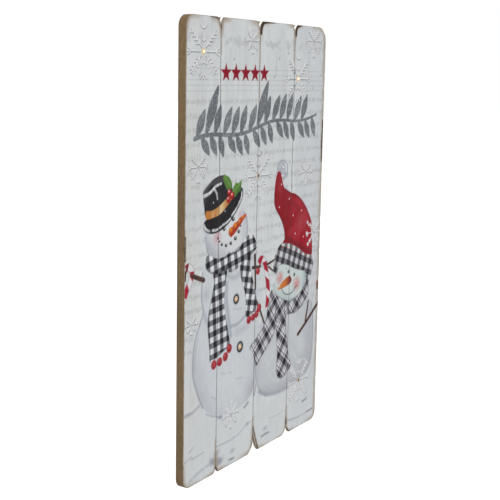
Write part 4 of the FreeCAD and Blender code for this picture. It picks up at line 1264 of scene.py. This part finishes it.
class Plank:
    """A plank's front as a grid of points, with its rounded edge worked out from the outline."""

    def __init__(self, name):
        self.name = name
        ring = plank_ring(name)
        foot, head = ring[:, 1].min(), ring[:, 1].max()
        heights = foot + graded(head - foot)
        left, right = limits(ring[:-1], heights)
        places = graded(ring[:, 0].max() - ring[:, 0].min())
        share = places / places[-1]
        self.rows, self.columns = len(heights), len(share)
        self.across = (left[:, None] + (right - left)[:, None] * share).ravel()
        self.up = np.repeat(heights, self.columns)
        self.edge, _ = distance(self.across, self.up, ring)
        self.order = order = np.arange(len(self.up)).reshape(self.rows, self.columns)
        self.border = np.concatenate([order[0], order[1:, -1], order[-1, -2::-1],
                                      order[-2:0:-1, 0]])
        self.edge[self.border] = 0.0

    def depth(self):
        """Distance behind the front face: the rounded edge, a little worn."""
        inset = np.clip(EDGE_ROUND - self.edge, 0, None)
        curve = EDGE_ROUND - np.sqrt(np.clip(EDGE_ROUND ** 2 - inset ** 2, 0, None))
        dents = step(noise(self.across, self.up, 7, 111), 0.55, 0.8) * np.exp(-self.edge / 1.6)
        return curve + 0.5 * dents * (self.edge > 0)

    def points(self):
        """The front's points, then the border again at each step to the back."""
        thick = (BACK_Y - FRONT_Y) / MM
        sheets = [np.stack([self.across, self.depth(), self.up], axis=1)]
        for share in SIDE_STEPS:
            ring = sheets[0][self.border].copy()
            ring[:, 1] = ring[:, 1] + (thick - ring[:, 1]) * share
            sheets.append(ring)
        return np.vstack(sheets) * MM + (LEFT_X, FRONT_Y, FOOT_Z)

    def side_faces(self):
        """Quads between the border's rings, one list for each step."""
        count = len(self.border)
        rings = [self.border] + [len(self.up) + count * index + np.arange(count)
                                 for index in range(len(SIDE_STEPS))]
        return [np.stack([outer, inner, np.roll(inner, -1), np.roll(outer, -1)], axis=1)
                for outer, inner in zip(rings, rings[1:])]

    def back_faces(self):
        """A strip across the back for each row, and a fan at the foot and at the head."""
        rows, columns, count = self.rows, self.columns, len(self.border)
        back = np.full(rows * columns, -1)
        back[self.border] = len(self.up) + count * (len(SIDE_STEPS) - 1) + np.arange(count)
        back = back.reshape(rows, columns)
        faces = [[back[row, 0], back[row + 1, 0], back[row + 1, -1], back[row, -1]]
                 for row in range(1, rows - 2)]
        for near, far in ((1, 0), (rows - 2, rows - 1)):
            fan = [[back[near, 0], back[far, c], back[far, c + 1]] for c in range(columns - 1)]
            fan.append([back[near, 0], back[far, -1], back[near, -1]])
            faces += [face[::-1] for face in fan] if far == 0 else fan
        return faces

    def build(self, colour, front, side):
        """The closed plank, front painted, sides and back raw."""
        order = self.order
        points = self.points()
        cells = np.stack([order[:-1, :-1], order[:-1, 1:], order[1:, 1:], order[1:, :-1]], axis=-1)
        rounds, back = self.side_faces(), self.back_faces()
        painted = cells.reshape(-1, 4).tolist()
        rounded = painted + np.vstack(rounds).tolist()
        faces = rounded + [[int(point) for point in face] for face in back]
        mesh = bpy.data.meshes.new(self.name + "_painted")
        mesh.from_pydata(points.tolist(), [], faces)
        uv = [self.front_uv(cells)]
        uv += [self.side_uv(len(quads), index) for index, quads in enumerate(rounds)]
        uv.append(self.back_uv(points[[point for face in back for point in face]]))
        layer = mesh.uv_layers.new(name="OFBake")
        layer.data.foreach_set("uv", np.vstack([part.reshape(-1, 2) for part in uv]).ravel())
        paint = mesh.attributes.new("paint", "FLOAT_COLOR", "POINT")
        paint.data.foreach_set("color", self.paint(colour).ravel())
        mesh.materials.append(front)
        mesh.materials.append(side)
        number = np.arange(len(faces))
        mesh.polygons.foreach_set("material_index", (number >= len(painted)).astype(int))
        mesh.polygons.foreach_set("use_smooth", number < len(rounded))
        mesh.update()
        piece = bpy.data.objects.new(self.name + "_painted", mesh)
        bpy.context.scene.collection.objects.link(piece)
        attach(piece, "sign")
        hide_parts(self.name)

    def paint(self, colour):
        """Every point's colour, and in alpha how well paint covers the raw sides."""
        covered = np.zeros(len(colour))
        covered[self.border] = self.walls(0.0)[:, 3]
        front = np.column_stack([colour, covered])
        return np.vstack([front] + [self.walls(share) for share in SIDE_STEPS])

    def walls(self, share):
        """Paint on the sides at one depth: white run into the notches between planks, at the foot
        behind a dark brown front edge."""
        across, up = self.across[self.border], self.up[self.border]
        beside = [np.abs(across - gap) < NOTCH_REACH for gap in GAPS]
        notch = np.any(beside, axis=0)
        top, foot = notch & (up > BOARD_TALL - NOTCH_HEAD), notch & (up < NOTCH_FOOT)
        made = np.zeros((len(across), 4))
        made[:, :3] = linear(rgb(240, 240, 238))
        made[(top & (share < 0.36)) | (foot & (share < 0.9)), 3] = 1.0
        # dark brown on the front fifth of the foot notches' walls: above 16 mm, and all the way
        # down at the middle gap
        dark_brown = foot & ((up > 16) | beside[1])
        made[dark_brown & (share < 0.2)] = (*linear(rgb(78, 64, 54)), 1.0)
        return made

    def front_uv(self, cells):
        """The lower half of the front beside the upper half, each as tall as the texture."""
        half = self.rows // 2
        low_x, wide = self.across.min(), self.across.max() - self.across.min()
        made = []
        for part, start in zip((cells[:half], cells[half:]), HALVES_AT):
            x, z = self.across[part], self.up[part]
            foot, tall = z.min(), z.max() - z.min()
            made.append(np.stack([start + HALF_WIDE * (x - low_x) / wide,
                                  UV_FOOT + UV_TALL * (z - foot) / tall], axis=-1))
        return np.concatenate([m.reshape(-1, 4, 2) for m in made])

    def side_uv(self, count, ring):
        """Each ring of the side as upright bands."""
        places = np.arange(count)
        band = places * SIDE_BANDS // count
        start = np.ceil(band * count / SIDE_BANDS)
        low, high = [UV_FOOT + UV_TALL * (places + more - start) / (count / SIDE_BANDS + 1)
                     for more in (0, 1)]
        near = SIDE_AT + BAND_WIDE * band + RING_WIDE * ring
        far = near + RING_WIDE
        return np.stack([near, low, far, low, far, high, near, high], axis=1)

    def back_uv(self, points):
        low, high = points.min(0), points.max(0)
        share = (points - low) / (high - low + 1e-9)
        return np.stack([BACK_AT + BACK_WIDE * share[:, 0], UV_FOOT + UV_TALL * share[:, 2]],
                        axis=1)


def linear(colour):
    """sRGB to the renderer's linear values."""
    colour = np.clip(colour, 0, 1)
    return np.where(colour <= 0.04045, colour / 12.92, ((colour + 0.055) / 1.055) ** 2.4)


def make_planks():
    planks = [Plank(name) for name in PLANKS]
    art = Painting(*[np.concatenate([getattr(plank, part) for plank in planks])
                     for part in ("across", "up", "edge")])
    paint_picture(art)
    colour = np.clip(linear(art.colour) - FRONT_SHEEN, 0.002, 1) / FRONT_LIGHT
    front, side = painted_front(), raw_board()
    start = 0
    for plank in planks:
        end = start + len(plank.up)
        plank.build(colour[start:end], front, side)
        start = end


make_camera()
make_stage()
cad_materials()
make_planks()
flake_paint = raised_paint()
for flake_name, (flake_lines, ridge_width) in flakes().items():
    ridge_mesh(flake_name, flake_lines, ridge_width, flake_paint)
